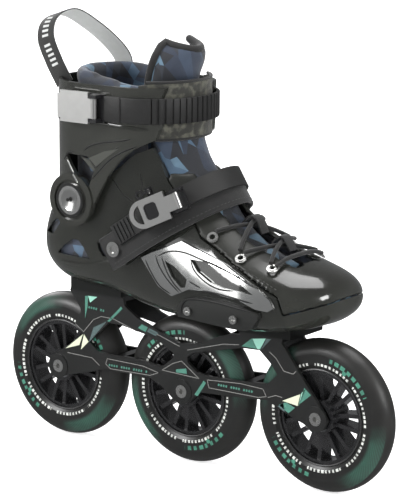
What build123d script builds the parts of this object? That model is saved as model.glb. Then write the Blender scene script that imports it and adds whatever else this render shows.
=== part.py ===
"""A right-foot inline skate: boot, hinged cuff, strap buckles, frame and three large wheels.

Millimetres. +X points to the toe, +Z up and -Y to the outer side of the foot.
The origin is on the ground below the middle axle, in the plane of the wheels.
"""

import os
from math import cos, pi, radians, sin, tan

from build123d import *

os.makedirs("parts", exist_ok=True)

# ---------------------------------------------------------------- driving dimensions
# Wheels and bearings
WHEEL_DIAMETER = 125.0
WHEEL_WIDTH = 24.0
AXLE_PITCH = 132.5
CORE_RADIUS = 40.0
CORE_RIM = 4.5
BARREL_RADIUS = 14.0
SPOKES = 7
SPOKE_THICKNESS = 15.0
SPOKE_RIB = 3.4
SPOKE_SPREAD_IN = 7.0
SPOKE_SPREAD_OUT = 13.0
BEARING_OUTER = 11.0
BEARING_BORE = 4.0
BEARING_WIDTH = 7.0
BEARING_GAP = 10.0
RACE_OUTER = 9.3
RACE_INNER = 5.7
BALLS = 7
BALL_CLEARANCE = 0.03
RING_CLEARANCE = 0.02
FIT_CLEARANCE = 0.05

# Frame
PLATE_GAP = 26.6
PLATE_THICKNESS = 3.0
REAR_DECK_TOP = 133.8
FRONT_DECK_TOP = 124.5
DECK_THICKNESS = 5.0
REAR_BOLT_X = -85.0
FRONT_BOLT_X = 80.0
BRIDGE_X = 66.25
BOLT_RADIUS = 4.0
BOLT_HEAD_RADIUS = 6.5
BOLT_HEAD_HEIGHT = 4.0
AXLE_HEAD_RADIUS = 5.4
AXLE_HEAD_HEIGHT = 2.6
AXLE_SOCKET = 2.4
AXLE_HEX = 2.3
HEAD_SINK = 0.4
BOSS_RADIUS = 10.5
BOSS_PROUD = 0.6
BRIDGE_HALF = 4.0
BRIDGE_LOW = 75.0
BRIDGE_HIGH = 81.5
REAR_DECK = (-118.0, -62.0)
FRONT_DECK = (58.0, 100.0)
BOLT_REACH = 5.6
BOLT_HEX = 3.0
BOLT_SOCKET = 2.4
HOLE_SLACK = 0.6
REAR_BLOCK = (-114.0, -60.0, 21.0, 12.0)
FRONT_BLOCK = (60.0, 112.0, 23.0, 9.0)

# Boot walls
SHELL_WALL = 3.2
LINER_WALL = 6.5
LAYER_GAP = 0.45
SEAM_GAP = 0.3
PANEL_THICKNESS = 2.4
SLIDER_THICKNESS = 4.6
THROAT_HALF = 16.0
TONGUE_HALF = 24.0

# Leg and cuff, as a plan outline of two half ellipses joined by straight sides
LEG_HALF_WIDTH = 52.0
LEG_REAR_X = -80.0
LEG_REAR_DEPTH = 46.0
LEG_FRONT_X = -40.0
LEG_FRONT_DEPTH = 48.0
CUFF_WALL = 3.0
CUFF_TOP = 315.0
LINER_INSET = 14.5
LINER_TOP = 326.0
TONGUE_TOP = 345.0

# Ankle pivot
PIVOT_X = -87.0
PIVOT_Z = 218.0
PIVOT_BOLT_RADIUS = 4.0
EAR_RADIUS = 22.0
EAR_INNER = 49.3
EAR_OUTER = 53.4
EAR_RECESS_RADIUS = 17.0
EAR_RECESS_DEPTH = 2.0
DISC_RADIUS = 13.5
SHELL_BOSS_RADIUS = 20.0
BOSS_INNER = 42.6
DISC_CLEARANCE = 0.1
DISC_THICKNESS = 2.9
DISH_RADIUS = 20.5
DISH_DEPTH = 2.0
NUT_RADIUS = 6.0
NUT_THICKNESS = 2.4

# Straps
STRAP_THICKNESS = 2.6
CUFF_STRAP_LOW = 286.5
CUFF_STRAP_HIGH = 307.0
INSTEP_ANGLE = 33.0
INSTEP_ANCHOR = (-40.8, 183.0)
INSTEP_HALF = 50.6
INSTEP_FLAT = 22.0
INSTEP_REACH = 95.0
INSTEP_BAND_LOW = -14.0
INSTEP_BAND_HIGH = 13.0
LOOP_WIDTH = 18.0
LOOP_THICKNESS = 1.8
LACE_DIAMETER = 3.6

WHEEL_RADIUS = WHEEL_DIAMETER / 2
AXLE_Z = WHEEL_RADIUS
HALF_WIDTH = WHEEL_WIDTH / 2
AXLES = {"rear": -AXLE_PITCH, "middle": 0.0, "front": AXLE_PITCH}
PLATE_INNER = PLATE_GAP / 2
PLATE_OUTER = PLATE_INNER + PLATE_THICKNESS
FAR = 400.0


# ---------------------------------------------------------------- helpers
def save(name, *solids):
    """Write one node as a STEP file of separate solids."""
    found = [s for piece in solids for s in piece.solids()]
    export_step(Compound(children=found) if len(found) > 1 else found[0], f"parts/{name}.step")
    print(name, len(found), [round(s.volume) for s in found][:6])


def rod(radius, y_from, y_to, x=0.0, z=0.0):
    """A cylinder along Y."""
    length = y_to - y_from
    return Pos(x, (y_from + y_to) / 2, z) * Rot(90, 0, 0) * Cylinder(radius, length)


def post(radius, z_from, z_to, x=0.0, y=0.0):
    """A cylinder along Z."""
    return Pos(x, y, (z_from + z_to) / 2) * Cylinder(radius, z_to - z_from)


def block(x0, x1, y0, y1, z0, z1):
    """A box between two corners."""
    return Pos((x0 + x1) / 2, (y0 + y1) / 2, (z0 + z1) / 2) * Box(x1 - x0, y1 - y0, z1 - z0)


def closed_face(pieces):
    """A face inside the closed chain of lines and curves."""
    return make_face([edge for piece in pieces for edge in piece.edges()])


def side_face(points):
    """A face in the XZ plane through the corner points."""
    return make_face(Polyline(*[(x, 0, z) for x, z in points], close=True))


def through(points, y0=-FAR, y1=FAR):
    """A side outline cut through from y0 to y1."""
    face = Pos(0, y0, 0) * side_face(points)
    return extrude(face, amount=y1 - y0, dir=(0, 1, 0))


def largest(shape):
    """The largest solid of a shape, which drops slivers left by a cut."""
    return max(shape.solids(), key=lambda s: s.volume)


def whole(shape, least=20.0):
    """The solids of a shape that are larger than a sliver."""
    return [s for s in shape.solids() if s.volume > least]


def both(piece):
    """A piece and its mirror image across the wheel plane."""
    return [piece, mirror(piece, about=Plane.XZ)]


# ---------------------------------------------------------------- boot form
# Each section runs from the sole or the back of the leg to the crown or the shin:
# low x and z, high x and z, half width, sideways shift, lower and upper roundness.
BOOT_SECTIONS = [
    (147.5, 153.0, 147.5, 166.0, 12.0, 6.0, 2.2, 2.0),
    (144.0, 144.0, 144.0, 172.0, 26.0, 6.0, 2.3, 2.0),
    (134.0, 137.0, 134.0, 177.5, 38.0, 5.0, 2.6, 2.1),
    (115.0, 131.5, 115.0, 183.5, 47.0, 3.0, 3.0, 2.2),
    (88.0, 128.5, 92.0, 190.5, 51.0, 1.0, 3.4, 2.2),
    (60.0, 127.5, 70.0, 198.5, 50.0, 0.0, 3.4, 2.2),
    (32.0, 127.5, 54.0, 209.0, 47.0, 0.0, 3.4, 2.2),
    (2.0, 127.5, 38.0, 222.0, 44.5, 0.0, 3.2, 2.3),
    (-35.0, 131.0, 24.0, 236.0, 43.0, 0.0, 3.0, 2.5),
    (-78.0, 138.5, 13.0, 250.0, 43.0, 0.0, 2.8, 2.7),
    (-118.0, 141.5, 6.0, 262.0, 43.5, 0.0, 2.6, 2.9),
    (-140.5, 157.0, 2.0, 273.0, 44.5, 0.0, 2.5, 3.0),
    (-143.0, 178.0, -1.0, 283.0, 45.0, 0.0, 2.4, 3.0),
    (-134.0, 206.0, -3.0, 293.0, 45.5, 0.0, 2.3, 3.0),
    (-126.0, 240.0, -5.0, 304.0, 45.5, 0.0, 2.3, 3.0),
    (-122.0, 290.0, -8.0, 330.0, 45.5, 0.0, 2.3, 3.0),
]
EYELET_RADIUS = 4.6
EYELET_LIFT = 1.3
WIDEST_AT = 0.42
SECTION_POINTS = 16
TOE_SECTIONS = 4
# Each layer inside another ends this many insets higher, so no two ends share a plane.
END_STEP = 3.0


def boot_section(data, inset, shift):
    """One closed section of the boot, drawn in by inset on every side."""
    low_x, low_z, high_x, high_z, half, sideways, low_power, high_power = data
    low = Vector(low_x - shift, 0, low_z)
    high = Vector(high_x - shift, 0, high_z)
    rise = (high - low).normalized()
    low, high, half = low + rise * inset, high - rise * inset, half - inset
    length = (high - low).length
    points = []
    for k in range(SECTION_POINTS):
        angle = pi + 2 * pi * k / SECTION_POINTS
        upper = cos(angle) >= 0
        power = 2 / (high_power if upper else low_power)
        reach = length * ((1 - WIDEST_AT) if upper else -WIDEST_AT)
        along = length * WIDEST_AT + reach * abs(cos(angle)) ** power
        side = half * abs(sin(angle)) ** power * (1 if sin(angle) >= 0 else -1)
        points.append(low + rise * along + Vector(0, side + sideways, 0))
    return Wire([Spline(*points, periodic=True)])


def boot_form(inset):
    """The solid boot shape, drawn in by inset, or grown where inset is negative."""
    wires = []
    for k, data in enumerate(BOOT_SECTIONS):
        shift = inset * max(0.0, 1 - k / TOE_SECTIONS)
        wires.append(boot_section(data, inset, shift))
    wires[-1] = Pos(0, 0, END_STEP * inset) * wires[-1]
    return Solid.make_loft(wires)


def leg_ring(inset, thickness, z0, z1):
    """A wall around the leg, its outside drawn in by inset from the cuff's outside."""
    outer = leg_solid(inset, z0, z1)
    inner = leg_solid(inset + thickness, z0 - 1, z1 + 1)
    return outer - inner


def leg_solid(inset, z0, z1):
    """The filled plan outline of the leg between two heights."""
    half = LEG_HALF_WIDTH - inset
    rear = LEG_REAR_DEPTH - inset
    front = LEG_FRONT_DEPTH - inset
    outline = [
        EllipticalCenterArc((LEG_REAR_X, 0), rear, half, 90, arc_size=180),
        Line((LEG_REAR_X, -half), (LEG_FRONT_X, -half)),
        EllipticalCenterArc((LEG_FRONT_X, 0), front, half, -90, arc_size=180),
        Line((LEG_FRONT_X, half), (LEG_REAR_X, half)),
    ]
    face = Pos(0, 0, z0) * closed_face(outline)
    return extrude(face, amount=z1 - z0, dir=(0, 0, 1))


# ---------------------------------------------------------------- wheels
def tyre():
    """The polyurethane tyre, crowned at the tread, with a lip that grips the core."""
    outline = [
        Polyline((CORE_RADIUS, -HALF_WIDTH + 2), (CORE_RADIUS + 3, -HALF_WIDTH),
                 (WHEEL_RADIUS - 11, -HALF_WIDTH)),
        Spline((WHEEL_RADIUS - 11, -HALF_WIDTH), (WHEEL_RADIUS - 2.6, -7.2), (WHEEL_RADIUS, 0),
               (WHEEL_RADIUS - 2.6, 7.2), (WHEEL_RADIUS - 11, HALF_WIDTH)),
        Polyline((WHEEL_RADIUS - 11, HALF_WIDTH), (CORE_RADIUS + 3, HALF_WIDTH),
                 (CORE_RADIUS, HALF_WIDTH - 2), (CORE_RADIUS, -HALF_WIDTH + 2)),
    ]
    return revolve(closed_face(outline), axis=Axis.Y)


def spoke(angle):
    """One double rib from the barrel to the rim of the core."""
    inner, outer = BARREL_RADIUS - 1, CORE_RADIUS - CORE_RIM + 1
    ribs = None
    for side in (-1, 1):
        a0, a1 = side * SPOKE_SPREAD_IN / 2, side * SPOKE_SPREAD_OUT / 2
        rib = Polyline((inner, a0 - SPOKE_RIB / 2), (outer, a1 - SPOKE_RIB / 2),
                       (outer, a1 + SPOKE_RIB / 2), (inner, a0 + SPOKE_RIB / 2), close=True)
        solid = extrude(make_face(rib), amount=SPOKE_THICKNESS / 2, both=True)
        ribs = solid if ribs is None else ribs + solid
    return Rot(0, angle, 0) * Rot(90, 0, 0) * ribs


def hub():
    """The wheel core: barrel with two bearing seats, double spokes and rim."""
    rim_outer = CORE_RADIUS - 0.05
    rim = rod(rim_outer, -HALF_WIDTH + 3, HALF_WIDTH - 3) - rod(CORE_RADIUS - CORE_RIM, -FAR, FAR)
    core = rim + rod(BARREL_RADIUS, -HALF_WIDTH, HALF_WIDTH)
    for k in range(SPOKES):
        core += spoke(360 * k / SPOKES)
    seat = BEARING_OUTER + FIT_CLEARANCE / 2
    core -= rod(RACE_OUTER, -FAR, FAR)
    core -= rod(seat, BEARING_GAP / 2, FAR)
    core -= rod(seat, -FAR, -BEARING_GAP / 2)
    return core


def bearing_rings(outer, inner):
    """A pair of bearing rings between two radii."""
    ring = rod(outer, BEARING_GAP / 2, BEARING_GAP / 2 + BEARING_WIDTH) - rod(inner, -FAR, FAR)
    return both(ring)


def balls():
    """The balls of both bearings, running between the rings."""
    radius = (RACE_OUTER - RACE_INNER) / 2 - BALL_CLEARANCE
    track = (RACE_OUTER + RACE_INNER) / 2
    middle = BEARING_GAP / 2 + BEARING_WIDTH / 2
    found = []
    for k in range(BALLS):
        angle = 2 * pi * k / BALLS
        ball = Pos(track * cos(angle), middle, track * sin(angle)) * Sphere(radius)
        found += both(ball)
    return found


def axle():
    """A shouldered axle bolt with a hexagon socket, screwed into the far plate."""
    outer = -PLATE_OUTER - BOSS_PROUD
    shank = rod(BEARING_BORE - FIT_CLEARANCE, -PLATE_OUTER, PLATE_OUTER - HEAD_SINK)
    head = rod(AXLE_HEAD_RADIUS, outer, outer + AXLE_HEAD_HEIGHT)
    socket = Pos(0, outer + AXLE_SOCKET, 0) * Rot(90, 0, 0)
    hexagon = extrude(RegularPolygon(AXLE_HEX, 6), amount=AXLE_SOCKET + 1)
    return shank + head - socket * hexagon


def spacer():
    """The sleeve that keeps the two inner rings apart."""
    half = BEARING_GAP / 2
    return rod(RACE_INNER - 0.2, -half, half) - rod(BEARING_BORE + FIT_CLEARANCE, -FAR, FAR)


def build_wheels():
    """Write the nodes of all three wheels and their axles."""
    parts = {
        "tyre": [tyre()],
        "hub": [hub()],
        "bearing_outer_rings": bearing_rings(BEARING_OUTER, RACE_OUTER),
        "bearing_balls": balls(),
        "bearing_inner_rings": bearing_rings(RACE_INNER, BEARING_BORE),
        "spacer": [spacer()],
        "axle": [axle()],
    }
    for place, x in AXLES.items():
        for name, pieces in parts.items():
            save(f"{place}_{name}", *[Pos(x, 0, AXLE_Z) * piece for piece in pieces])


# ---------------------------------------------------------------- frame
FRAME_OUTLINE = [
    (-119, 131.5), (-108, 118), (-107, 114), (-114, 103), (-105, 95), (-125, 80),
    (-141, 70), (-143, 62.5), (-140, 54.5), (-132.5, 52), (-121, 56.6), (-97, 63),
    (-81, 68), (-34, 69), (-21, 64), (-8, 54), (0, 52), (8, 54), (18, 65), (45, 66.5),
    (86, 70), (98, 65), (106, 61.7), (121, 57), (132.5, 51.5), (140, 54.5), (143.8, 62.5),
    (137, 72.5), (98, 120.5), (100, 124.5), (68, 121), (50, 119), (36, 114.5), (20, 106.5),
    (-2, 103), (-21, 109), (-46, 117.3), (-60, 126), (-62, 133.8), (-118, 133.8),
]
REAR_WINDOW = [
    (-98, 89), (-77, 108.8), (-64, 109), (-38, 105), (-20, 100), (-9, 94), (-8, 90),
    (-20, 80.4), (-47, 82.4), (-88, 82),
]
FRONT_WINDOW = [
    (27, 101), (60, 109), (78, 110), (89, 101), (95.6, 92.7), (86, 83.6), (69, 82.4),
    (30.5, 80), (16.3, 81.2), (6, 88.4), (6, 93), (12.5, 97.5),
]


def frame():
    """Two side plates with windows, joined by two decks and two low bridges."""
    plates = through(FRAME_OUTLINE, -PLATE_OUTER, PLATE_OUTER)
    plates -= through(FRAME_OUTLINE, -PLATE_INNER, PLATE_INNER)
    for window in (REAR_WINDOW, FRONT_WINDOW):
        plates -= through(window)
    rear_deck = block(*REAR_DECK, -PLATE_INNER, PLATE_INNER, REAR_DECK_TOP - DECK_THICKNESS,
                      REAR_DECK_TOP)
    front_deck = block(*FRONT_DECK, -PLATE_OUTER, PLATE_OUTER, FRONT_DECK_TOP - DECK_THICKNESS,
                       FRONT_DECK_TOP)
    body = plates + rear_deck + front_deck
    for x in (-BRIDGE_X, BRIDGE_X):
        body += block(x - BRIDGE_HALF, x + BRIDGE_HALF, -PLATE_INNER, PLATE_INNER, BRIDGE_LOW,
                      BRIDGE_HIGH)
    for x in AXLES.values():
        outside = rod(BOSS_RADIUS, PLATE_OUTER, PLATE_OUTER + BOSS_PROUD, x, AXLE_Z)
        inside = rod(RACE_INNER, HALF_WIDTH + RING_CLEARANCE, PLATE_INNER, x, AXLE_Z)
        for piece in both(outside) + both(inside):
            body += piece
        body -= rod(BEARING_BORE, -FAR, FAR, x, AXLE_Z)
        head = AXLE_HEAD_RADIUS + FIT_CLEARANCE
        body -= rod(head, -FAR, -PLATE_OUTER - BOSS_PROUD + AXLE_HEAD_HEIGHT, x, AXLE_Z)
    for x in (REAR_BOLT_X, FRONT_BOLT_X):
        body -= post(BOLT_RADIUS + 0.4, 100, 200, x)
    return body


def frame_bolts():
    """The two bolts that hold the frame under the boot."""
    found = []
    for x, top in ((REAR_BOLT_X, REAR_DECK_TOP), (FRONT_BOLT_X, FRONT_DECK_TOP)):
        under = top - DECK_THICKNESS
        bolt = post(BOLT_RADIUS - FIT_CLEARANCE, under, top + BOLT_REACH, x)
        bolt += post(BOLT_HEAD_RADIUS, under - BOLT_HEAD_HEIGHT, under, x)
        hexagon = extrude(RegularPolygon(BOLT_HEX, 6), amount=BOLT_SOCKET)
        socket = Pos(x, 0, under - BOLT_HEAD_HEIGHT) * hexagon
        found.append(bolt - socket)
    return found


# ---------------------------------------------------------------- boot
SHELL_KEEP = [
    (-170, 100), (117.7, 100), (117.7, 149), (111.7, 162.7), (70, 181.7), (34, 198.7),
    (16, 219.7), (-2, 239.7), (-16, 266), (-30, 260), (-50, 243), (-62, 228), (-70, 212),
    (-97, 212), (-104, 201), (-170, 201),
]
HEEL_WINDOWS = [
    [(-114, 168), (-104, 176.5), (-94, 182.8), (-87.4, 183), (-82.5, 178), (-76.4, 168)],
    [(-67, 184), (-60, 181), (-55.7, 176), (-55.7, 172.5), (-62, 172.5), (-66, 178)],
    [(-128, 184), (-118, 194), (-110, 199), (-107, 195), (-112, 189), (-118, 184)],
]
TOE_BUMPER_KEEP = [(118, 100), (170, 100), (170, 167.7), (142, 156.7), (118, 148.7)]
VAMP_KEEP = [
    (112, 163), (118, 149), (142, 157), (170, 168), (170, 246), (-2, 246), (-2, 240), (16, 220),
    (34, 199), (70, 182),
]
THROAT = [(112, 150), (112, 260), (-20, 330), (-20, 222), (40, 190)]
FOOTBED_KEEP = [(-160, 100), (160, 100), (160, 142), (20, 142), (-20, 143), (-60, 149), (-70, 153.5),
                (-160, 155.5)]
LOWER_KEEP = [
    (-170, 100), (170, 100), (170, 260), (30, 246), (-82, 211), (-97, 211), (-104, 201),
    (-170, 201),
]
SIDE_PANEL = [
    (-19.4, 177.5), (-9, 183), (5, 188.7), (20, 196), (33, 191.8), (64, 183), (99, 168),
    (109, 161), (112.5, 155), (108, 152), (98, 153), (83, 158.5), (54, 160.5), (31, 159),
    (23, 155), (12.6, 150.5), (-1.4, 156.5),
]
SIDE_PANEL_WINDOWS = [
    [(4.8, 178.5), (15.6, 175), (29, 166.5), (27.5, 160), (23, 159), (13, 166.3)],
    [(31, 183), (39, 174.5), (54, 168), (69, 165.5), (95, 164), (83, 170.5), (61, 178.5),
     (45, 183)],
]
SLIDER = [
    (17.3, 134), (20.3, 143.5), (27.9, 151), (40.1, 154), (64.1, 155.5), (87.7, 153.5),
    (101, 150), (101.7, 145.8), (95.3, 136.8), (88, 134),
]
SLIDER_SCREWS = [(32.6, 142), (81.6, 143.5)]
SCREW_RADIUS = 1.5
SCREW_CLEARANCE = 0.1
SCREW_LENGTH = 9.0
SCREW_HEAD_RADIUS = 3.4
SCREW_HEAD_HEIGHT = 1.9
HEAD_OVERLAP = 0.2
HEAD_LIFT = 0.15
CROSS_SLOT = (4.4, 1.4, 1.0)
EYELETS = [(44.0, 34.0), (73.0, 36.0), (101.0, 33.0)]


def mount_blocks(outside):
    """The two blocks under the sole that the frame's decks bolt to."""
    blocks = []
    for sizes, deck_top in ((REAR_BLOCK, REAR_DECK_TOP), (FRONT_BLOCK, FRONT_DECK_TOP)):
        x0, x1, half, height = sizes
        blocks.append(block(x0, x1, -half, half, deck_top, deck_top + height) - outside)
    holes = bolt_holes()
    return [min((piece - holes).solids(), key=lambda s: s.center().Z) for piece in blocks]


def bolt_holes():
    """The blind holes that the frame bolts screw into."""
    reach = BOLT_REACH + HOLE_SLACK
    rear = post(BOLT_RADIUS, REAR_DECK_TOP - 1, REAR_DECK_TOP + reach, REAR_BOLT_X)
    return rear + post(BOLT_RADIUS, FRONT_DECK_TOP - 1, FRONT_DECK_TOP + reach, FRONT_BOLT_X)


def shell(wall):
    """The hard lower boot with its heel cage, ankle wings and pivot bosses."""
    body = wall & through(SHELL_KEEP)
    for window in HEEL_WINDOWS:
        body -= through(window)
    body = largest(body)
    for piece in both(rod(SHELL_BOSS_RADIUS, BOSS_INNER, EAR_INNER - SEAM_GAP, PIVOT_X, PIVOT_Z)):
        body += piece
    body -= rod(PIVOT_BOLT_RADIUS + FIT_CLEARANCE, -FAR, FAR, PIVOT_X, PIVOT_Z)
    for x, z in SLIDER_SCREWS:
        body -= rod(SCREW_RADIUS + SCREW_CLEARANCE, -FAR, FAR, x, z)
    body -= bolt_holes()
    return largest(body)


def side_skin(points, thickness, side):
    """A plate that follows the boot's side, LAYER_GAP off it."""
    skin = boot_form(-LAYER_GAP - thickness) - boot_form(-LAYER_GAP)
    y0, y1 = (-FAR, -30.0) if side < 0 else (30.0, FAR)
    return largest(skin & through(points, y0, y1))


def side_panel(side):
    """The bright side panel with its two windows."""
    panel = side_skin(SIDE_PANEL, PANEL_THICKNESS, side)
    for window in SIDE_PANEL_WINDOWS:
        panel -= through(window)
    return largest(panel)


def slider_plates():
    """The replaceable abrasion plates beside the forefoot."""
    found = []
    for side in (-1, 1):
        plate = side_skin(SLIDER, SLIDER_THICKNESS, side)
        for x, z in SLIDER_SCREWS:
            plate -= rod(SCREW_RADIUS + SCREW_CLEARANCE, -FAR, FAR, x, z)
        found.append(largest(plate))
    return found


def slider_screws():
    """The screws of the abrasion plates, with domed heads."""
    found = []
    for x, z in SLIDER_SCREWS:
        half = slider_face(x, z)
        top = half + SCREW_HEAD_HEIGHT
        screw = rod(SCREW_RADIUS, half - SCREW_LENGTH, half + HEAD_OVERLAP, x, z)
        screw += rod(SCREW_HEAD_RADIUS, half + HEAD_LIFT, top, x, z)
        slot, depth, width = CROSS_SLOT
        cross = Pos(x, top, z) * (Box(slot, depth, width) + Box(width, depth, slot))
        found += both(screw - cross)
    return found


def slider_face(x, z):
    """How far out the abrasion plate's face stands at a screw."""
    plate = side_skin(SLIDER, SLIDER_THICKNESS, 1)
    hit = plate & rod(SCREW_HEAD_RADIUS, 0, FAR, x, z)
    return hit.bounding_box().max.Y


def surface_height(form, x, y):
    """The height of a form's top above the point x, y."""
    hit = form & Edge.make_line((x, y, 150), (x, y, FAR))
    return hit.bounding_box().max.Z


def eyelets(form):
    """The lace eyelets, as flanged rings standing on the vamp."""
    found = []
    for x, y in EYELETS:
        z = surface_height(form, x, y)
        rise_y = surface_height(form, x, y + 2) - surface_height(form, x, y - 2)
        rise_x = surface_height(form, x + 2, y) - surface_height(form, x - 2, y)
        normal = Vector(-rise_x / 4, -rise_y / 4, 1).normalized()
        seat = Plane(origin=Vector(x, y, z) + normal * EYELET_LIFT, z_dir=normal)
        ring = Cylinder(EYELET_RADIUS, 1.4) + Pos(0, 0, 1.1) * Cylinder(EYELET_RADIUS - 1.2, 0.8)
        found += both(seat * (ring - Cylinder(EYELET_RADIUS - 2.3, 9)))
        print("eyelet", x, y, round(z, 1))
    return found


# ---------------------------------------------------------------- laces
# Each stretch of lace runs from eyelet to eyelet over the tongue: x, y, z.
LACE_ROUTES = [
    [(104, -32, 184.9), (104.5, -22, 188.8), (105, 0, 189.8), (104.5, 22, 188.8), (104, 32, 184.9)],
    [(75.5, -35, 192.6), (81, -23, 194.6), (88, 0, 195.2), (94, 22, 190.6), (98.8, 32, 186.8)],
    [(75.5, 35, 192.6), (81, 23, 196.2), (88, 0, 199.6), (94, -22, 192.2), (98.8, -32, 186.8)],
    [(46, -33, 205.4), (52, -22, 208.4), (60, 0, 208.2), (66, 22, 200.8), (70.5, 34, 193.8)],
    [(46, 33, 205.4), (52, 22, 210.2), (60, 0, 212.6), (66, -22, 202.6), (70.5, -34, 193.8)],
]


def cord(points, diameter):
    """A round cord along straight runs joined by tangent arcs."""
    at = [Vector(*p) for p in points]
    radii = []
    for before, here, after in zip(at, at[1:], at[2:]):
        turn = radians((here - before).get_angle(after - here))
        run = min((here - before).length, (after - here).length)
        radii.append(0.45 * run / tan(turn / 2))
    path = FilletPolyline(*at, radius=radii)
    start = Plane(origin=path @ 0, z_dir=path % 0)
    print("cord radii", [round(r, 1) for r in radii], "length", round(path.length, 1))
    return sweep(start * Circle(diameter / 2), path=path)


# ---------------------------------------------------------------- instep strap
def strap_plane():
    """The slanted plane of the instep strap, through its anchor bolts."""
    x, z = INSTEP_ANCHOR
    slope = radians(INSTEP_ANGLE)
    return Plane(origin=(x, 0, z), x_dir=(cos(slope), 0, sin(slope)),
                 z_dir=(-sin(slope), 0, cos(slope)))


def strap_outline(grow, start):
    """The filled plan of the strap around the instep, grown outwards, from start on."""
    half = INSTEP_HALF + grow
    reach = INSTEP_REACH - INSTEP_FLAT + grow
    return closed_face([
        Line((start, -half), (INSTEP_FLAT, -half)),
        EllipticalCenterArc((INSTEP_FLAT, 0), reach, half, -90, arc_size=180),
        Line((INSTEP_FLAT, half), (start, half)),
        Line((start, half), (start, -half)),
    ])


def strap_wrap(offset, thickness, start, low, high):
    """A strap that lies offset outside the instep's strap line, between two edges."""
    outer = strap_outline(offset + thickness, start)
    inner = strap_outline(offset, start - 1)
    placed = strap_plane() * Pos(0, 0, low) * (outer - inner)
    return extrude(placed, amount=high - low, dir=strap_plane().z_dir)


ANCHOR_RADIUS = 3.0
ANCHOR_FROM = 47.5
ANCHOR_HEAD_RADIUS = 6.3
ANCHOR_HEAD_HEIGHT = 2.4
ANCHOR_SOCKET_RADIUS = 3.0
ANCHOR_SOCKET = 2.0
BAND_START = -11.0
LADDER_THICKNESS = 2.2


def instep_band():
    """The wide padded band from one anchor bolt over the instep to the other."""
    band = strap_wrap(0, STRAP_THICKNESS, BAND_START, INSTEP_BAND_LOW, INSTEP_BAND_HIGH)
    x, z = INSTEP_ANCHOR
    return largest(band - rod(ANCHOR_RADIUS + FIT_CLEARANCE, -FAR, FAR, x, z))


LADDER_START = 8.0
LADDER_LOW = 0.0
LADDER_HIGH = 17.0
TEETH = 5
FIRST_TOOTH = 3.0
TOOTH_PITCH = 4.0
TOOTH_HEIGHT = 0.9


def instep_ladder():
    """The toothed ladder strap that lies on the band and runs through the buckle."""
    offset = STRAP_THICKNESS + SEAM_GAP
    strap = strap_wrap(offset, LADDER_THICKNESS, LADDER_START, LADDER_LOW, LADDER_HIGH)
    outside = -(INSTEP_HALF + offset + LADDER_THICKNESS)
    for k in range(TEETH):
        d = LADDER_START + FIRST_TOOTH + TOOTH_PITCH * k
        tooth = block(d - 1, d + 1, outside - TOOTH_HEIGHT, outside + 0.4, LADDER_LOW + 1,
                      LADDER_HIGH - 1)
        strap += strap_plane() * tooth
    cut = strap_plane() * block(-50, INSTEP_FLAT, 0, 200, -50, 50)
    return largest(strap - cut)


def anchor_bolts():
    """The dished bolts that anchor the band, one on each side."""
    x, z = INSTEP_ANCHOR
    face = INSTEP_HALF + STRAP_THICKNESS
    top = face + ANCHOR_HEAD_HEIGHT
    bolt = rod(ANCHOR_RADIUS, ANCHOR_FROM, face + HEAD_OVERLAP, x, z)
    bolt += rod(ANCHOR_HEAD_RADIUS, face + HEAD_LIFT, top, x, z)
    bolt -= Pos(x, top, z) * Rot(90, 0, 0) * Cylinder(ANCHOR_SOCKET_RADIUS, ANCHOR_SOCKET)
    return both(bolt)


# The buckle's own frame: x along the lever to its hinge, y across it, z outwards.
BUCKLE_ORIGIN = (4.0, -51.8, 222.0)
BUCKLE_ALONG = (0.838, 0.347, 0.419)
BUCKLE_OUT = (0.3207, -0.934, 0.1325)
LEVER_LENGTH = 42.0
LEVER_WIDTH = 23.0
LEVER_THICKNESS = 3.2
HINGE_AT = 17.0
HINGE_UP = 2.3
HINGE_PIN_RADIUS = 1.5
BUCKLE_WALL = 2.0
BUCKLE_NECK = 13.0


def buckle_plane():
    """The plane of the instep buckle."""
    out = Vector(*BUCKLE_OUT)
    along = Vector(*BUCKLE_ALONG)
    along = (along - out * along.dot(out)).normalized()
    return Plane(origin=BUCKLE_ORIGIN, x_dir=along, z_dir=out)


def across(radius, length, x, y, z):
    """A cylinder across the buckle, along its hinge axis."""
    return Pos(x, y, z) * Rot(90, 0, 0) * Cylinder(radius, length)


def buckle_base():
    """The buckle's base: a plate with ears for the hinge pin and a lug for the release."""
    half = BUCKLE_NECK / 2
    base = block(-10, 24, -half - 2.6, half + 2.6, -1.8, -0.3)
    for side in (-1, 1):
        y0, y1 = sorted((side * (half + 0.4), side * (half + 2.6)))
        base += block(HINGE_AT - 4, 24, y0, y1, -0.4, HINGE_UP + 2.2)
    x, y = RELEASE_AT
    base += block(x - 2.4, x + 2.4, half - 1, y + 3.2, -1.8, -0.5)
    base += block(x - 2.4, x + 2.4, y + 1.6, y + 3.2, -1.0, 3.4)
    base -= across(HINGE_PIN_RADIUS + FIT_CLEARANCE, 90, HINGE_AT, 0, HINGE_UP)
    return base - across(RELEASE_PIN + FIT_CLEARANCE, 90, x, y, RELEASE_UP)


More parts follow.
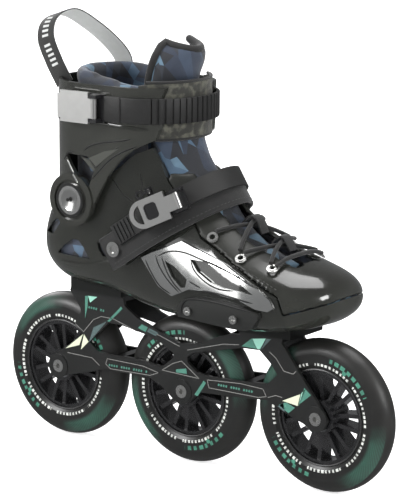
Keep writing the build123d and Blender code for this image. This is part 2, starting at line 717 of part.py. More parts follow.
def buckle_lever():
    """The open lever with a D-shaped and a square window, hinged at its narrow neck."""
    end = HINGE_AT - LEVER_LENGTH
    half, low, high = LEVER_WIDTH / 2, HINGE_UP - LEVER_THICKNESS / 2, HINGE_UP + LEVER_THICKNESS / 2
    head = extrude(Pos(end + half, 0, low) * Circle(half), amount=LEVER_THICKNESS)
    plate = head + block(end + half, HINGE_AT - 9, -half, half, low, high)
    plate += block(HINGE_AT - 10, HINGE_AT, -BUCKLE_NECK / 2, BUCKLE_NECK / 2, low, high)
    plate += across(2.4, BUCKLE_NECK, HINGE_AT, 0, HINGE_UP)
    d_window = extrude(Pos(end + half, 0, low - 1) * Circle(half - 3.6), amount=9)
    d_window &= block(end, end + 10, -half, half, low - 1, high + 1)
    square = Pos(end + 19, 0, HINGE_UP) * Box(11, 13, 20)
    square = fillet(square.edges().filter_by(Axis.Z), 3)
    return plate - d_window - square - across(HINGE_PIN_RADIUS + FIT_CLEARANCE, 90, HINGE_AT, 0,
                                              HINGE_UP)


def buckle_pin():
    """The hinge pin of the buckle lever."""
    return across(HINGE_PIN_RADIUS, BUCKLE_NECK + 5.2, HINGE_AT, 0, HINGE_UP)


RELEASE_AT = (-3.0, 15.4)
RELEASE_RADIUS = 3.4
RELEASE_PIN = 0.8
RELEASE_UP = 1.9


def buckle_release():
    """The small ring-shaped release beside the lever."""
    x, y = RELEASE_AT
    low, high = RELEASE_UP - 1, RELEASE_UP + 1
    arm = Pos(x - 8, y, RELEASE_UP) * Cylinder(RELEASE_RADIUS, 2.0)
    arm += block(x - 6, x, y - 1.3, y + 1.3, low, high)
    arm += across(1.9, 2.6, x, y, RELEASE_UP)
    arm -= Pos(x - 8, y, RELEASE_UP) * Cylinder(RELEASE_RADIUS - 1.6, 9)
    return arm - across(RELEASE_PIN + FIT_CLEARANCE, 90, x, y, RELEASE_UP)


def release_pin():
    """The pin that the release turns on, held in a lug of the base."""
    x, y = RELEASE_AT
    return across(RELEASE_PIN, 5.0, x, y + 0.7, RELEASE_UP)


# ---------------------------------------------------------------- cuff
CUFF_KEEP = [
    (-140, 212), (-107, 212), (-102, 204.5), (-95, 199), (-80, 197), (-67.5, 206.4), (-63.5, 216.4),
    (-55.4, 231), (-47.4, 243.5), (-36.8, 255), (-26.4, 264.4), (-9.6, 273.3), (-7, 283),
    (-8, 300), (-4, 315), (-140, 315),
]
CUFF_WINDOW = [(-95, 256), (-70, 256), (-62, 246), (-68, 232), (-73, 227.5), (-80, 237)]
FRONT_SHIELD_KEEP = [(-26, 277), (-8, 272), (30, 272), (30, 321), (-8, 319), (-26, 315.5)]
UPPER_KEEP = [(-170, 226.8), (-87, 218), (60, 286.5), (60, 420), (-170, 420)]


def ear(side):
    """The flat pivot ear of the cuff on one side."""
    y0, y1 = sorted((side * EAR_INNER, side * EAR_OUTER))
    disc = rod(EAR_RADIUS, y0, y1, PIVOT_X, PIVOT_Z)
    low, high = sorted((side * (EAR_OUTER - EAR_RECESS_DEPTH), side * FAR))
    disc -= rod(EAR_RECESS_RADIUS, low, high, PIVOT_X, PIVOT_Z)
    return disc


def cuff():
    """The hinged cuff: upper band, rear spine, front struts and pivot ears."""
    ring = leg_ring(0, CUFF_WALL, 190, CUFF_TOP)
    body = ring & through(CUFF_KEEP)
    body -= through(CUFF_WINDOW)
    inside = LEG_HALF_WIDTH - CUFF_WALL
    hole = rod(EAR_RADIUS - 0.5, -inside - 40, inside + 40, PIVOT_X, PIVOT_Z)
    body -= hole
    body = body + ear(-1) + ear(1)
    body -= rod(PIVOT_BOLT_RADIUS + FIT_CLEARANCE, -FAR, FAR, PIVOT_X, PIVOT_Z)
    for rivet in rivet_holes():
        body -= rivet
    return body


def pivot_bolts():
    """The dished discs on the ankle pivots, with their shanks and inner nuts' seats."""
    floor = EAR_OUTER - EAR_RECESS_DEPTH + DISC_CLEARANCE
    top = floor + DISC_THICKNESS
    shank = rod(PIVOT_BOLT_RADIUS, BOSS_INNER, floor + HEAD_OVERLAP, PIVOT_X, PIVOT_Z)
    disc = rod(DISC_RADIUS, floor, top, PIVOT_X, PIVOT_Z)
    dish = Pos(PIVOT_X, top + DISH_RADIUS - DISH_DEPTH, PIVOT_Z) * Sphere(DISH_RADIUS)
    return both(shank + (disc - dish))


def pivot_nuts():
    """The flat nuts inside the shell that take the pivot bolts."""
    nut = rod(NUT_RADIUS, BOSS_INNER - NUT_THICKNESS, BOSS_INNER, PIVOT_X, PIVOT_Z)
    return both(nut)


def cuff_strap():
    """The ladder strap around the front of the cuff."""
    ring = leg_ring(-SEAM_GAP - STRAP_THICKNESS, STRAP_THICKNESS, CUFF_STRAP_LOW, CUFF_STRAP_HIGH)
    keep = block(-50, 60, -80, 80, 200, 400)
    strap = ring & keep
    for rivet in rivet_holes():
        strap -= rivet
    return largest(strap)


def front_shield():
    """The flexible shin shield below the cuff strap."""
    ring = leg_ring(CUFF_WALL + SEAM_GAP, 2.0, 240, 330)
    return largest(ring & through(FRONT_SHIELD_KEEP))


def liner_upper():
    """The part of the liner that wraps the leg and leans with the cuff."""
    ring = leg_ring(LINER_INSET, LINER_WALL, 200, LINER_TOP)
    ring &= block(-200, LEG_FRONT_X, -80, 80, 100, 400)
    return largest(ring & through(UPPER_KEEP))


def tongue_upper():
    """The shin part of the tongue, which leans with the cuff."""
    ring = leg_ring(CUFF_WALL + 2.0 + 2 * SEAM_GAP + 1.0, 8.0, 200, TONGUE_TOP)
    ring &= block(LEG_FRONT_X + 20, 60, -TONGUE_HALF, TONGUE_HALF, 100, 400)
    return largest(ring & through(UPPER_KEEP))


def pull_loop():
    """The webbing pull loop that stands over the back of the collar."""
    half, height, foot = 34.0, 49.0, 3.4
    thin = half - LOOP_THICKNESS
    straight = height - half
    arch = Pos(0, straight) * (Circle(half) - Circle(thin))
    arch -= Pos(0, straight - half) * Rectangle(3 * half, 2 * half)
    legs = Pos(0, straight / 2) * (Rectangle(2 * half, straight) - Rectangle(2 * thin, straight))
    plane = Plane(origin=(-117, 3, CUFF_TOP + foot), x_dir=(0, 1, 0), z_dir=(0.95, 0, 0.31))
    flat = plane * Pos(0, 0, -LOOP_WIDTH / 2) * (arch + legs)
    return extrude(flat, amount=LOOP_WIDTH, dir=plane.z_dir)


CUFF_BUCKLE_HINGE = (-57.0, -59.3)
CUFF_LEVER_REAR = -94.0


STRAP_RIVETS = [(-44.5, 291.5), (-44.5, 302.0)]
PLATE_RIVETS = [(-76.5, 296.8), (-65.0, 296.8)]
RIVET_RADIUS = 1.8
RIVET_HEAD = 3.4


def cuff_buckle_base():
    """The plate on the cuff's outer side, with two ears for the lever's pin."""
    face = -LEG_HALF_WIDTH - SEAM_GAP
    hx, hy = CUFF_BUCKLE_HINGE
    plate = block(-90, -50.6, face - BUCKLE_WALL, face, 285.5, 308)
    for z0, z1 in ((285.5, 288.3), (305.2, 308)):
        plate += block(hx - 4, hx + 4, hy - 2.6, face - 1, z0, z1)
    plate -= post(HINGE_PIN_RADIUS + FIT_CLEARANCE, 280, 320, hx, hy)
    for rivet in rivet_holes():
        plate -= rivet
    return plate


def cuff_lever():
    """The broad lever that closes the cuff strap, hinged at its front end."""
    hx, hy = CUFF_BUCKLE_HINGE
    lever = block(CUFF_LEVER_REAR + 3, hx - 5, hy - 1.6, hy + 1.4, 284, 309.5)
    lever += block(CUFF_LEVER_REAR, CUFF_LEVER_REAR + 4, hy - 1.6, hy + 1.4, 287, 306.5)
    lever += block(hx - 6, hx, hy - 1.6, hy + 1.4, 288.8, 304.7)
    lever += post(2.4, 288.8, 304.7, hx, hy)
    return lever - post(HINGE_PIN_RADIUS + FIT_CLEARANCE, 280, 320, hx, hy)


def rivet_holes():
    """The holes for the rivets of the strap and of the buckle's plate."""
    strap = [rod(RIVET_RADIUS, 0, 90, x, z) for x, z in STRAP_RIVETS]
    return strap + [rod(RIVET_RADIUS, -90, 0, x, z) for x, z in PLATE_RIVETS]


def cuff_rivets():
    """The rivets that hold the strap and the buckle's plate to the cuff."""
    found = []
    strap_face = LEG_HALF_WIDTH + SEAM_GAP + STRAP_THICKNESS
    plate_face = LEG_HALF_WIDTH + SEAM_GAP + BUCKLE_WALL
    shank = RIVET_RADIUS - FIT_CLEARANCE
    inside = LEG_HALF_WIDTH - CUFF_WALL
    for x, z in STRAP_RIVETS:
        found.append(rod(shank, inside, strap_face + 0.1, x, z)
                     + rod(RIVET_HEAD, strap_face + 0.05, strap_face + 1.3, x, z))
    for x, z in PLATE_RIVETS:
        found.append(rod(shank, -plate_face - 0.1, -inside, x, z)
                     + rod(RIVET_HEAD, -plate_face - 1.1, -plate_face - 0.05, x, z))
    return found


def build_boot():
    """Write the nodes of the boot: shell, panels, upper, liner, laces and strap."""
    outside = boot_form(0)
    inside = boot_form(SHELL_WALL)
    wall = outside - inside
    save("shell", shell(wall))
    save("mount_blocks", *mount_blocks(outside))
    save("toe_bumper", largest(wall & through(TOE_BUMPER_KEEP)))
    throat = through(THROAT, -THROAT_HALF, THROAT_HALF)
    save("vamp", *whole((wall & through(VAMP_KEEP)) - throat))
    for side, name in ((-1, "outer_side_panel"), (1, "inner_side_panel")):
        save(name, side_panel(side))
    save("slider_plates", *slider_plates())
    save("slider_screws", *slider_screws())
    save("eyelets", *eyelets(outside))
    save("laces", *[cord(route, LACE_DIAMETER) for route in LACE_ROUTES])

    liner_outside = boot_form(SHELL_WALL + LAYER_GAP)
    cavity = boot_form(SHELL_WALL + LAYER_GAP + LINER_WALL)
    padding = (liner_outside - cavity) & through(LOWER_KEEP)
    gap = SEAM_GAP / 2
    opening = through(THROAT, -TONGUE_HALF - gap, TONGUE_HALF + gap)
    save("liner_lower", largest(padding - opening))
    save("tongue_lower", largest(padding & through(THROAT, -TONGUE_HALF + gap, TONGUE_HALF - gap)))
    insole = boot_form(SHELL_WALL + LAYER_GAP + LINER_WALL + SEAM_GAP)
    save("footbed", largest(insole & through(FOOTBED_KEEP)))

    save("anchor_bolts", *anchor_bolts())
    save("instep_band", instep_band())
    save("instep_ladder", instep_ladder())
    plane = buckle_plane()
    save("instep_buckle_base", plane * buckle_base())
    save("instep_buckle_lever", plane * buckle_lever())
    save("instep_buckle_pin", plane * buckle_pin())
    save("instep_release", plane * buckle_release())
    save("instep_release_pin", plane * release_pin())
    save("pivot_bolts", *pivot_bolts())
    save("pivot_nuts", *pivot_nuts())


def build_cuff():
    """Write the nodes that lean with the cuff."""
    save("cuff", cuff())
    save("front_shield", front_shield())
    save("cuff_strap", cuff_strap())
    save("cuff_buckle_base", cuff_buckle_base())
    save("cuff_buckle_lever", cuff_lever())
    hx, hy = CUFF_BUCKLE_HINGE
    save("cuff_buckle_pin", post(HINGE_PIN_RADIUS, 285.5, 308, hx, hy))
    save("cuff_rivets", *cuff_rivets())
    save("liner_upper", liner_upper())
    save("tongue_upper", tongue_upper())
    save("pull_loop", pull_loop())


if __name__ == "__main__":
    build_wheels()
    save("frame", frame())
    save("frame_bolts", *frame_bolts())
    build_boot()
    build_cuff()
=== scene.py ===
"""The looks of a right-foot inline skate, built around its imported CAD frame.

Sizes are in millimetres until a piece is made, and Blender's objects are in metres.
+X points to the toe, +Z up and -Y to the outer side of the foot.
"""

import logging
import math
from dataclasses import dataclass, field
from enum import Enum
from typing import Callable, Sequence

import bmesh
import bpy
from mathutils import Matrix, Vector
from mathutils.bvhtree import BVHTree


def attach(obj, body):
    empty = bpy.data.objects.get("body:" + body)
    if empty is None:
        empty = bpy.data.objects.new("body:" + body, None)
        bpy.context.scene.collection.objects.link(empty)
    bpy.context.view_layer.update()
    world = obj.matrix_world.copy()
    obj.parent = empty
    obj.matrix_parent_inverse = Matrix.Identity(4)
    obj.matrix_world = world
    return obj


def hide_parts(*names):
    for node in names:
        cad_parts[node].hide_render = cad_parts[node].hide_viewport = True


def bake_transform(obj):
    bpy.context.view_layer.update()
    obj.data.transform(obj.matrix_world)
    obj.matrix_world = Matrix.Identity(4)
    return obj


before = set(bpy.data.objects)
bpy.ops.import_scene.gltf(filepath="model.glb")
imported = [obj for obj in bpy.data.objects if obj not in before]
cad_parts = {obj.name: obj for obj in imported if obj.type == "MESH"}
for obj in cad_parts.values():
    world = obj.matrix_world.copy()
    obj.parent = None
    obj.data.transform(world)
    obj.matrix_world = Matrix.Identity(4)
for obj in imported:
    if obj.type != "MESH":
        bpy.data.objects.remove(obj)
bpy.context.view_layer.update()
log = logging.getLogger("skate")

MM = 0.001
Colour = tuple[float, float, float]
Point2 = tuple[float, float]
Point3 = tuple[float, float, float]


# ------------------------------------------------------------------ shader writing
class Signal:
    """A number running through a shader tree, used in ordinary arithmetic."""

    def __init__(self, tree: "Tree", socket: bpy.types.NodeSocket) -> None:
        """Keep the tree and the socket that gives the number."""
        self.tree = tree
        self.socket = socket

    def maths(self, operation: str, *values: "Signal | float") -> "Signal":
        """Add one Math node.

        Args:
            operation: the node's operation.
            values: its inputs in order.
        Returns:
            The node's result.
        """
        inputs = dict(enumerate(values))
        return self.tree.node("ShaderNodeMath", {"operation": operation}, inputs).first()

    def __add__(self, other: "Signal | float") -> "Signal":
        """self + other."""
        return self.maths("ADD", self, other)

    def __radd__(self, other: float) -> "Signal":
        """other + self."""
        return self.maths("ADD", other, self)

    def __sub__(self, other: "Signal | float") -> "Signal":
        """self - other."""
        return self.maths("SUBTRACT", self, other)

    def __rsub__(self, other: float) -> "Signal":
        """other - self."""
        return self.maths("SUBTRACT", other, self)

    def __mul__(self, other: "Signal | float") -> "Signal":
        """self * other."""
        return self.maths("MULTIPLY", self, other)

    def __rmul__(self, other: float) -> "Signal":
        """other * self."""
        return self.maths("MULTIPLY", other, self)

    def __truediv__(self, other: "Signal | float") -> "Signal":
        """self / other."""
        return self.maths("DIVIDE", self, other)

    def __gt__(self, other: "Signal | float") -> "Signal":
        """1 where self is greater."""
        return self.maths("GREATER_THAN", self, other)

    def __lt__(self, other: "Signal | float") -> "Signal":
        """1 where self is less."""
        return self.maths("LESS_THAN", self, other)

    def __abs__(self) -> "Signal":
        """The size without its sign."""
        return self.maths("ABSOLUTE", self)

    def floor(self) -> "Signal":
        """The whole part."""
        return self.maths("FLOOR", self)

    def part(self) -> "Signal":
        """The part after the whole number."""
        return self.maths("FRACT", self)

    def sine(self) -> "Signal":
        """The sine of the angle."""
        return self.maths("SINE", self)

    def cosine(self) -> "Signal":
        """The cosine of the angle."""
        return self.maths("COSINE", self)

    def root(self) -> "Signal":
        """The square root."""
        return self.maths("SQRT", self)

    def bearing(self, along: "Signal") -> "Signal":
        """The angle of the point that is this far up and that far along."""
        return self.maths("ARCTAN2", self, along)

    def most(self, other: "Signal | float") -> "Signal":
        """The greater of the two."""
        return self.maths("MAXIMUM", self, other)

    def within(self, low: float, high: float) -> "Signal":
        """1 between two values."""
        return (self > low) * (self < high)

    def eased(self, low: float, high: float) -> "Signal":
        """A smooth 0 to 1 between two values."""
        settings = {"interpolation_type": "SMOOTHSTEP"}
        values = {"Value": self, "From Min": low, "From Max": high}
        return self.tree.node("ShaderNodeMapRange", settings, values).first()


class Made:
    """A node that was just added, with its outputs at hand."""

    def __init__(self, tree: "Tree", node: bpy.types.Node) -> None:
        """Keep the tree and the node."""
        self.tree = tree
        self.node = node

    def first(self) -> Signal:
        """The first output as a number."""
        return Signal(self.tree, next(s for s in self.node.outputs if s.enabled))

    def out(self, name: str | int) -> Signal:
        """A named output."""
        return Signal(self.tree, self.node.outputs[name])


@dataclass(frozen=True)
class Place:
    """Where a surface point is, in millimetres."""

    x: Signal
    y: Signal
    z: Signal
    vector: Signal


class Tree:
    """The node tree of one material."""

    def __init__(self, name: str) -> None:
        """Start an empty material of that name."""
        self.material = bpy.data.materials.new(name)
        self.material.use_nodes = True
        self.links = self.material.node_tree.links
        self.nodes = self.material.node_tree.nodes
        self.nodes.clear()

    def node(self, kind: str, settings: dict | None = None, values: dict | None = None) -> Made:
        """Add any node.

        Args:
            kind: the node's type.
            settings: its properties, set first; "stops" fills a colour ramp.
            values: numbers, colours or links for its inputs, by name or number.
        Returns:
            The node, wrapped.
        """
        node = self.nodes.new(kind)
        for key, value in (settings or {}).items():
            if key == "stops":
                ramp = node.color_ramp.elements
                while len(ramp) < len(value):
                    ramp.new(0.5)
                for element, (at, colour) in zip(ramp, value):
                    element.position = at
                    element.color = (*colour, 1.0)
            elif key == "steps":
                node.color_ramp.interpolation = value
            else:
                setattr(node, key, value)
        for key, value in (values or {}).items():
            socket = node.inputs[key]
            if isinstance(value, Signal):
                self.links.new(value.socket, socket)
            elif isinstance(value, tuple) and len(value) == 3 and socket.type == "RGBA":
                socket.default_value = (*value, 1.0)
            else:
                socket.default_value = value
        return Made(self, node)

    def place(self) -> Place:
        """The point on the surface, in millimetres in the row frame."""
        coordinates = self.node("ShaderNodeTexCoord").out("Object")
        scaled = self.node("ShaderNodeVectorMath", {"operation": "SCALE"},
                           {0: coordinates, "Scale": 1 / MM}).first()
        split = self.node("ShaderNodeSeparateXYZ", None, {0: scaled})
        return Place(split.out("X"), split.out("Y"), split.out("Z"), scaled)

    def vector(self, x: Signal | float, y: Signal | float, z: Signal | float) -> Signal:
        """A vector from three numbers."""
        return self.node("ShaderNodeCombineXYZ", None, {0: x, 1: y, 2: z}).first()

    def noise(self, at: Signal, pitch: float, detail: float = 2.0) -> Signal:
        """Soft noise from 0 to 1.

        Args:
            at: the point, in millimetres.
            pitch: the size of one lump, in millimetres.
            detail: how many finer layers it has.
        Returns:
            The noise.
        """
        values = {"Vector": at, "Scale": 1 / pitch, "Detail": detail}
        return self.node("ShaderNodeTexNoise", None, values).out(0)

    def mix(self, share: Signal | float, a: Signal | Colour, b: Signal | Colour) -> Signal:
        """Blend two colours."""
        made = self.node("ShaderNodeMix", {"data_type": "RGBA"}, {0: share, 6: a, 7: b})
        return made.out(2)

    def ramp(self, share: Signal, stops: Sequence[tuple[float, Colour]],
             steps: str = "LINEAR") -> Signal:
        """A colour chosen along a row of stops."""
        return self.node("ShaderNodeValToRGB", {"steps": steps, "stops": stops},
                         {0: share}).out(0)

    def bump(self, height: Signal, strength: float, depth: float) -> Signal:
        """A bumpy normal.

        Args:
            height: from 0 to 1.
            strength: how strongly it shades.
            depth: how deep it is, in millimetres.
        Returns:
            The normal.
        """
        values = {"Height": height, "Strength": strength, "Distance": depth * MM}
        return self.node("ShaderNodeBump", None, values).first()

    def finish(self, values: dict) -> bpy.types.Material:
        """Close the tree with one surface shader.

        Args:
            values: the shader's inputs.
        Returns:
            The material.
        """
        shader = self.node("ShaderNodeBsdfPrincipled", None, values)
        self.node("ShaderNodeOutputMaterial", None, {0: shader.out(0)})
        return self.material


# ------------------------------------------------------------------ finishes
@dataclass(frozen=True)
class Plastic:
    """Moulded plastic or painted metal with a fine grain and a little wear.

    Args:
        name: the material's name.
        colour: its main colour.
        tint: the colour it drifts towards.
        roughness: how matt it is.
        grain: the size of its grain in millimetres.
        relief: how strongly the grain shows.
        coat: how much clear lacquer lies on it.
    """

    name: str
    colour: Colour
    tint: Colour
    roughness: float = 0.4
    grain: float = 0.5
    relief: float = 0.15
    coat: float = 0.0

    def material(self) -> bpy.types.Material:
        """Build the material."""
        tree = Tree(self.name)
        at = tree.place().vector
        drift = tree.noise(at, 42.0, 3.0)
        fine = tree.noise(at, self.grain, 2.0)
        rough = drift * 0.10 + fine * 0.05 + (self.roughness - 0.075)
        return tree.finish({
            "Base Color": tree.mix(drift, self.colour, self.tint),
            "Roughness": rough,
            "Normal": tree.bump(fine, self.relief, 0.12),
            "Coat Weight": self.coat,
            "Coat Roughness": 0.04,
        })


@dataclass(frozen=True)
class Metal:
    """Bright, brushed or cast metal.

    Args:
        name: the material's name.
        colour: its colour.
        roughness: how matt it is.
        stretch: how many times longer its scratches are than wide, along X.
        relief: how strongly its grain shows.
    """

    name: str
    colour: Colour
    roughness: float = 0.25
    stretch: float = 1.0
    relief: float = 0.1

    def material(self) -> bpy.types.Material:
        """Build the material."""
        tree = Tree(self.name)
        at = tree.place()
        drawn = tree.vector(at.x * (1 / self.stretch), at.y, at.z)
        grain = tree.noise(drawn, 0.5, 3.0)
        smear = tree.noise(at.vector, 9.0, 2.0)
        dull = tuple(0.72 * c for c in self.colour)
        return tree.finish({
            "Base Color": tree.mix(smear * 0.6, self.colour, dull),
            "Metallic": 1.0,
            "Roughness": grain * 0.12 + smear * 0.10 + (self.roughness - 0.11),
            "Normal": tree.bump(grain, self.relief, 0.08),
        })


@dataclass(frozen=True)
class Gloss:
    """Lacquered black shell plastic with an olive cast and faint flow lines.

    Args:
        name: the material's name.
        colour: its main colour.
        tint: the colour it drifts towards.
        roughness: how matt it is.
        ripple: how strongly its surface waves.
    """

    name: str
    colour: Colour
    tint: Colour
    roughness: float = 0.09
    ripple: float = 0.12

    def material(self) -> bpy.types.Material:
        """Build the material."""
        tree = Tree(self.name)
        at = tree.place()
        drift = tree.noise(at.vector, 60.0, 2.0)
        dust = tree.noise(at.vector, 1.1, 4.0)
        wave = tree.noise(at.vector, 16.0, 1.0)
        scuff = tree.noise(tree.vector(at.x * 0.2, at.y, at.z * 1.4), 1.5, 3.0).eased(0.62, 0.78)
        low = (138.0 - at.z).eased(0.0, 14.0)
        return tree.finish({
            "Base Color": tree.mix(drift, self.colour, self.tint),
            "Roughness": dust * 0.05 + scuff * low * 0.25 + self.roughness,
            "Normal": tree.bump(wave, self.ripple, 0.6),
            "Coat Weight": 0.6,
            "Coat Roughness": 0.03,
        })


@dataclass(frozen=True)
class TyreRubber:
    """Cast polyurethane with printed rings of plain marks on its side walls.

    Args:
        name: the material's name.
        centre: the wheel's centre along X.
        turn: how far the print is turned, in degrees.
    """

    name: str
    centre: float
    turn: float
    axle_height: float = 62.5
    white_ring: Point2 = (42.3, 44.6)
    word_ring: Point2 = (47.2, 50.6)
    band_ring: Point2 = (47.5, 60.0)
    dot_radius: float = 46.2
    black: Colour = (0.011, 0.011, 0.0105)
    green: Colour = (0.050, 0.210, 0.145)
    white: Colour = (0.62, 0.64, 0.60)

    def material(self) -> bpy.types.Material:
        """Build the material."""
        tree = Tree(self.name)
        at = tree.place()
        across, up = at.x - self.centre, at.z - self.axle_height
        radius = (across * across + up * up).root()
        angle = up.bearing(across)
        side = abs(at.y) > 10.4
        turned = angle - math.radians(self.turn)
        share = turned * (1 / math.tau) + 1.0
        strokes = self.strokes(tree, share, radius, 76.0)
        words = (share * 7.0).part() < 0.86
        ring = radius.within(*self.white_ring) * strokes * words
        letters = self.strokes(tree, share + 0.37, radius, 50.0)
        arcs = (turned * 2.0 - 1.9).cosine() > 0.62
        green = radius.within(*self.word_ring) * letters * arcs
        hatch = ((share * 96.0 + radius * 0.55).part() < 0.52)
        wide = (turned * 2.0 + 1.15).cosine()
        fade = (wide + tree.noise(at.vector, 9.0) * 0.5).eased(0.45, 1.3)
        rim = radius.eased(self.band_ring[0], self.band_ring[0] + 4.0)
        bands = rim * (radius < self.band_ring[1]) * fade * (hatch * 0.14 + 0.24)
        dots = self.dots(tree, turned, radius)
        green = (green.most(dots) * side).most(bands * (abs(at.y) > 4.0))
        speck = tree.noise(at.vector, 0.9, 3.0)
        inked = tree.mix(green * (speck * 0.5 + 0.6), self.black, self.green)
        colour = tree.mix(ring * side * 0.85, inked, self.white)
        tread = radius.eased(50.0, 61.0)
        dust = tree.noise(at.vector, 12.0, 3.0)
        return tree.finish({
            "Base Color": tree.mix(tread * dust * 0.25, colour, (0.05, 0.048, 0.042)),
            "Roughness": dust * 0.12 + speck * 0.06 + tread * 0.10 + 0.24,
            "Normal": tree.bump(speck + green * 0.6, 0.10, 0.10),
        })

    def strokes(self, tree: Tree, share: Signal, radius: Signal, count: float) -> Signal:
        """Short upright strokes of uneven width around a ring.

        Args:
            tree: the material's tree.
            share: how far round the ring, in turns.
            radius: how far out.
            count: strokes in one turn.
        Returns:
            1 on a stroke.
        """
        cell = (share * count).floor()
        chance = tree.node("ShaderNodeTexWhiteNoise", {"noise_dimensions": "1D"},
                           {"W": cell}).out(0)
        width = chance * 0.35 + 0.38
        bar = (share * count).part() < width
        gap = (radius * 1.9 + chance * 3.0).part() < 0.80
        return bar * gap.most(chance > 0.6)

    def dots(self, tree: Tree, turned: Signal, radius: Signal) -> Signal:
        """Two round marks on opposite sides of the ring."""
        around = ((turned + math.radians(30)) * (1 / math.pi) + 2.0).part() - 0.5
        along = around * math.pi * self.dot_radius
        out = radius - self.dot_radius
        return (along * along + out * out) < 3.6


@dataclass(frozen=True)
class Facets:
    """Printed lining cloth: a fan of dark, slate and blue triangles over a fine weave.

    Args:
        name: the material's name.
        pitch: the size of one fan, in millimetres.
        dark: how much of the cloth is near black.
    """

    name: str
    pitch: float = 27.0
    dark: float = 0.36
    weave: float = 0.9
    seed: float = 0.0

    def material(self) -> bpy.types.Material:
        """Build the material."""
        tree = Tree(self.name)
        at = tree.place()
        u, v = at.x + at.y * 0.8 + self.seed, at.z + at.y * 0.6
        flat = tree.vector(u * (1 / self.pitch), v * (1 / self.pitch), 0.0)
        fan = tree.node("ShaderNodeTexVoronoi", {"voronoi_dimensions": "2D"},
                        {"Vector": flat, "Scale": 1.0, "Randomness": 1.0})
        heart = tree.node("ShaderNodeSeparateXYZ", None, {0: fan.out("Position")})
        dx = u * (1 / self.pitch) - heart.out("X")
        dy = v * (1 / self.pitch) - heart.out("Y")
        angle = dy.bearing(dx)
        chance = tree.node("ShaderNodeSeparateColor", None, {0: fan.out("Color")})
        wedge = (angle * (2.5 / math.pi) + chance.out(0) * 3.0).floor()
        pick = tree.node("ShaderNodeTexWhiteNoise", {"noise_dimensions": "2D"},
                         {"Vector": tree.vector(wedge, chance.out(1) * 37.0, 0.0)}).out(0)
        colours = ((0.0, (0.010, 0.0105, 0.013)), (self.dark, (0.020, 0.024, 0.033)),
                   (self.dark + 0.20, (0.018, 0.028, 0.052)), (self.dark + 0.34, (0.030, 0.050, 0.088)),
                   (self.dark + 0.46, (0.058, 0.115, 0.185)), (0.93, (0.110, 0.200, 0.280)))
        cloth = tree.ramp(pick, colours, "CONSTANT")
        shade = tree.noise(at.vector, 7.0, 3.0)
        cloth = tree.mix(shade * 0.45, cloth, (0.014, 0.016, 0.022))
        warp = ((u + v) * (math.tau / self.weave)).sine()
        weft = ((u - v) * (math.tau / self.weave)).sine()
        thread = warp * weft * 0.5 + 0.5
        return tree.finish({
            "Base Color": tree.mix(thread * 0.22, cloth, (0.09, 0.10, 0.12)),
            "Roughness": thread * 0.1 + 0.72,
            "Sheen Weight": 0.25,
            "Sheen Roughness": 0.4,
            "Normal": tree.bump(thread + shade * 0.8, 0.35, 0.25),
        })


@dataclass(frozen=True)
class Cloth:
    """Woven or knitted cloth and webbing.

    Args:
        name: the material's name.
        colour: its main colour.
        fleck: the colour of its lighter threads.
        pitch: the distance between threads, in millimetres.
        mottle: how patchy it is, from 0 to 1.
        roughness: how matt it is.
    """

    name: str
    colour: Colour
    fleck: Colour
    pitch: float = 1.0
    mottle: float = 0.2
    roughness: float = 0.75

    def material(self) -> bpy.types.Material:
        """Build the material."""
        tree = Tree(self.name)
        at = tree.place()
        warp = ((at.x + at.z * 0.9 + at.y * 0.5) * (math.tau / self.pitch)).sine()
        weft = ((at.z - at.x * 0.4 - at.y * 0.9) * (math.tau / self.pitch)).sine()
        thread = warp * weft * 0.5 + 0.5
        patch = tree.noise(at.vector, 5.5, 4.0).eased(0.42, 0.66)
        share = thread * (0.35 - 0.2 * self.mottle) + patch * self.mottle
        return tree.finish({
            "Base Color": tree.mix(share, self.colour, self.fleck),
            "Roughness": thread * 0.1 + (self.roughness - 0.05),
            "Sheen Weight": 0.2,
            "Sheen Roughness": 0.4,
            "Normal": tree.bump(thread + patch * self.mottle, 0.5, 0.3),
        })


@dataclass(frozen=True)
class Leather:
    """Coated upper leather: glossy towards the toe, duller and creased over the instep.

    Args:
        name: the material's name.
        colour: its main colour.
        tint: the colour of its worn grain.
    """

    name: str
    colour: Colour
    tint: Colour

    def material(self) -> bpy.types.Material:
        """Build the material."""
        tree = Tree(self.name)
        at = tree.place()
        pores = tree.node("ShaderNodeTexVoronoi", {"feature": "DISTANCE_TO_EDGE"},
                          {"Vector": at.vector, "Scale": 0.8}).out(0).eased(0.0, 0.25)
        crease = tree.noise(tree.vector(at.x, at.y * 0.35, at.z * 0.6), 7.0, 3.0)
        toe = at.x.eased(78.0, 118.0)
        drift = tree.noise(at.vector, 26.0, 3.0)
        return tree.finish({
            "Base Color": tree.mix(drift, self.colour, self.tint),
            "Roughness": toe * -0.26 + drift * 0.08 + 0.36,
            "Specular IOR Level": 0.3,
            "Normal": tree.bump(pores * 0.3 + crease * (1.6 - toe), 0.18, 0.35),
            "Coat Weight": toe * 0.8,
            "Coat Roughness": 0.05,
        })


BLACK_GLOSS = Gloss("shell_gloss", (0.010, 0.0105, 0.0095), (0.019, 0.020, 0.017))
TOE_GLOSS = Gloss("toe_gloss", (0.012, 0.0125, 0.011), (0.024, 0.025, 0.021), 0.11)
# Painted reflection: lighter olive plastic laid in patches on the glossy cuff where it mirrors the room.
OLIVE_PAINTED_REFLECTION = Plastic("olive_painted_reflection", (0.030, 0.032, 0.027), (0.050, 0.052, 0.044), 0.42, 0.4, 0.18)
CUFF_SATIN = Plastic("cuff_satin", (0.016, 0.0165, 0.0145), (0.028, 0.029, 0.025), 0.17, 0.5, 0.04, 0.7)
STRAP_PLASTIC = Plastic("strap_plastic", (0.009, 0.009, 0.009), (0.015, 0.015, 0.0145), 0.55, 0.35, 0.3)
SLIDER_PLASTIC = Plastic("slider_plastic", (0.009, 0.0095, 0.009), (0.017, 0.018, 0.0165), 0.5, 0.45, 0.3)
HUB_PLASTIC = Plastic("hub_plastic", (0.009, 0.009, 0.0095), (0.014, 0.014, 0.015), 0.22, 0.8, 0.06, 0.5)
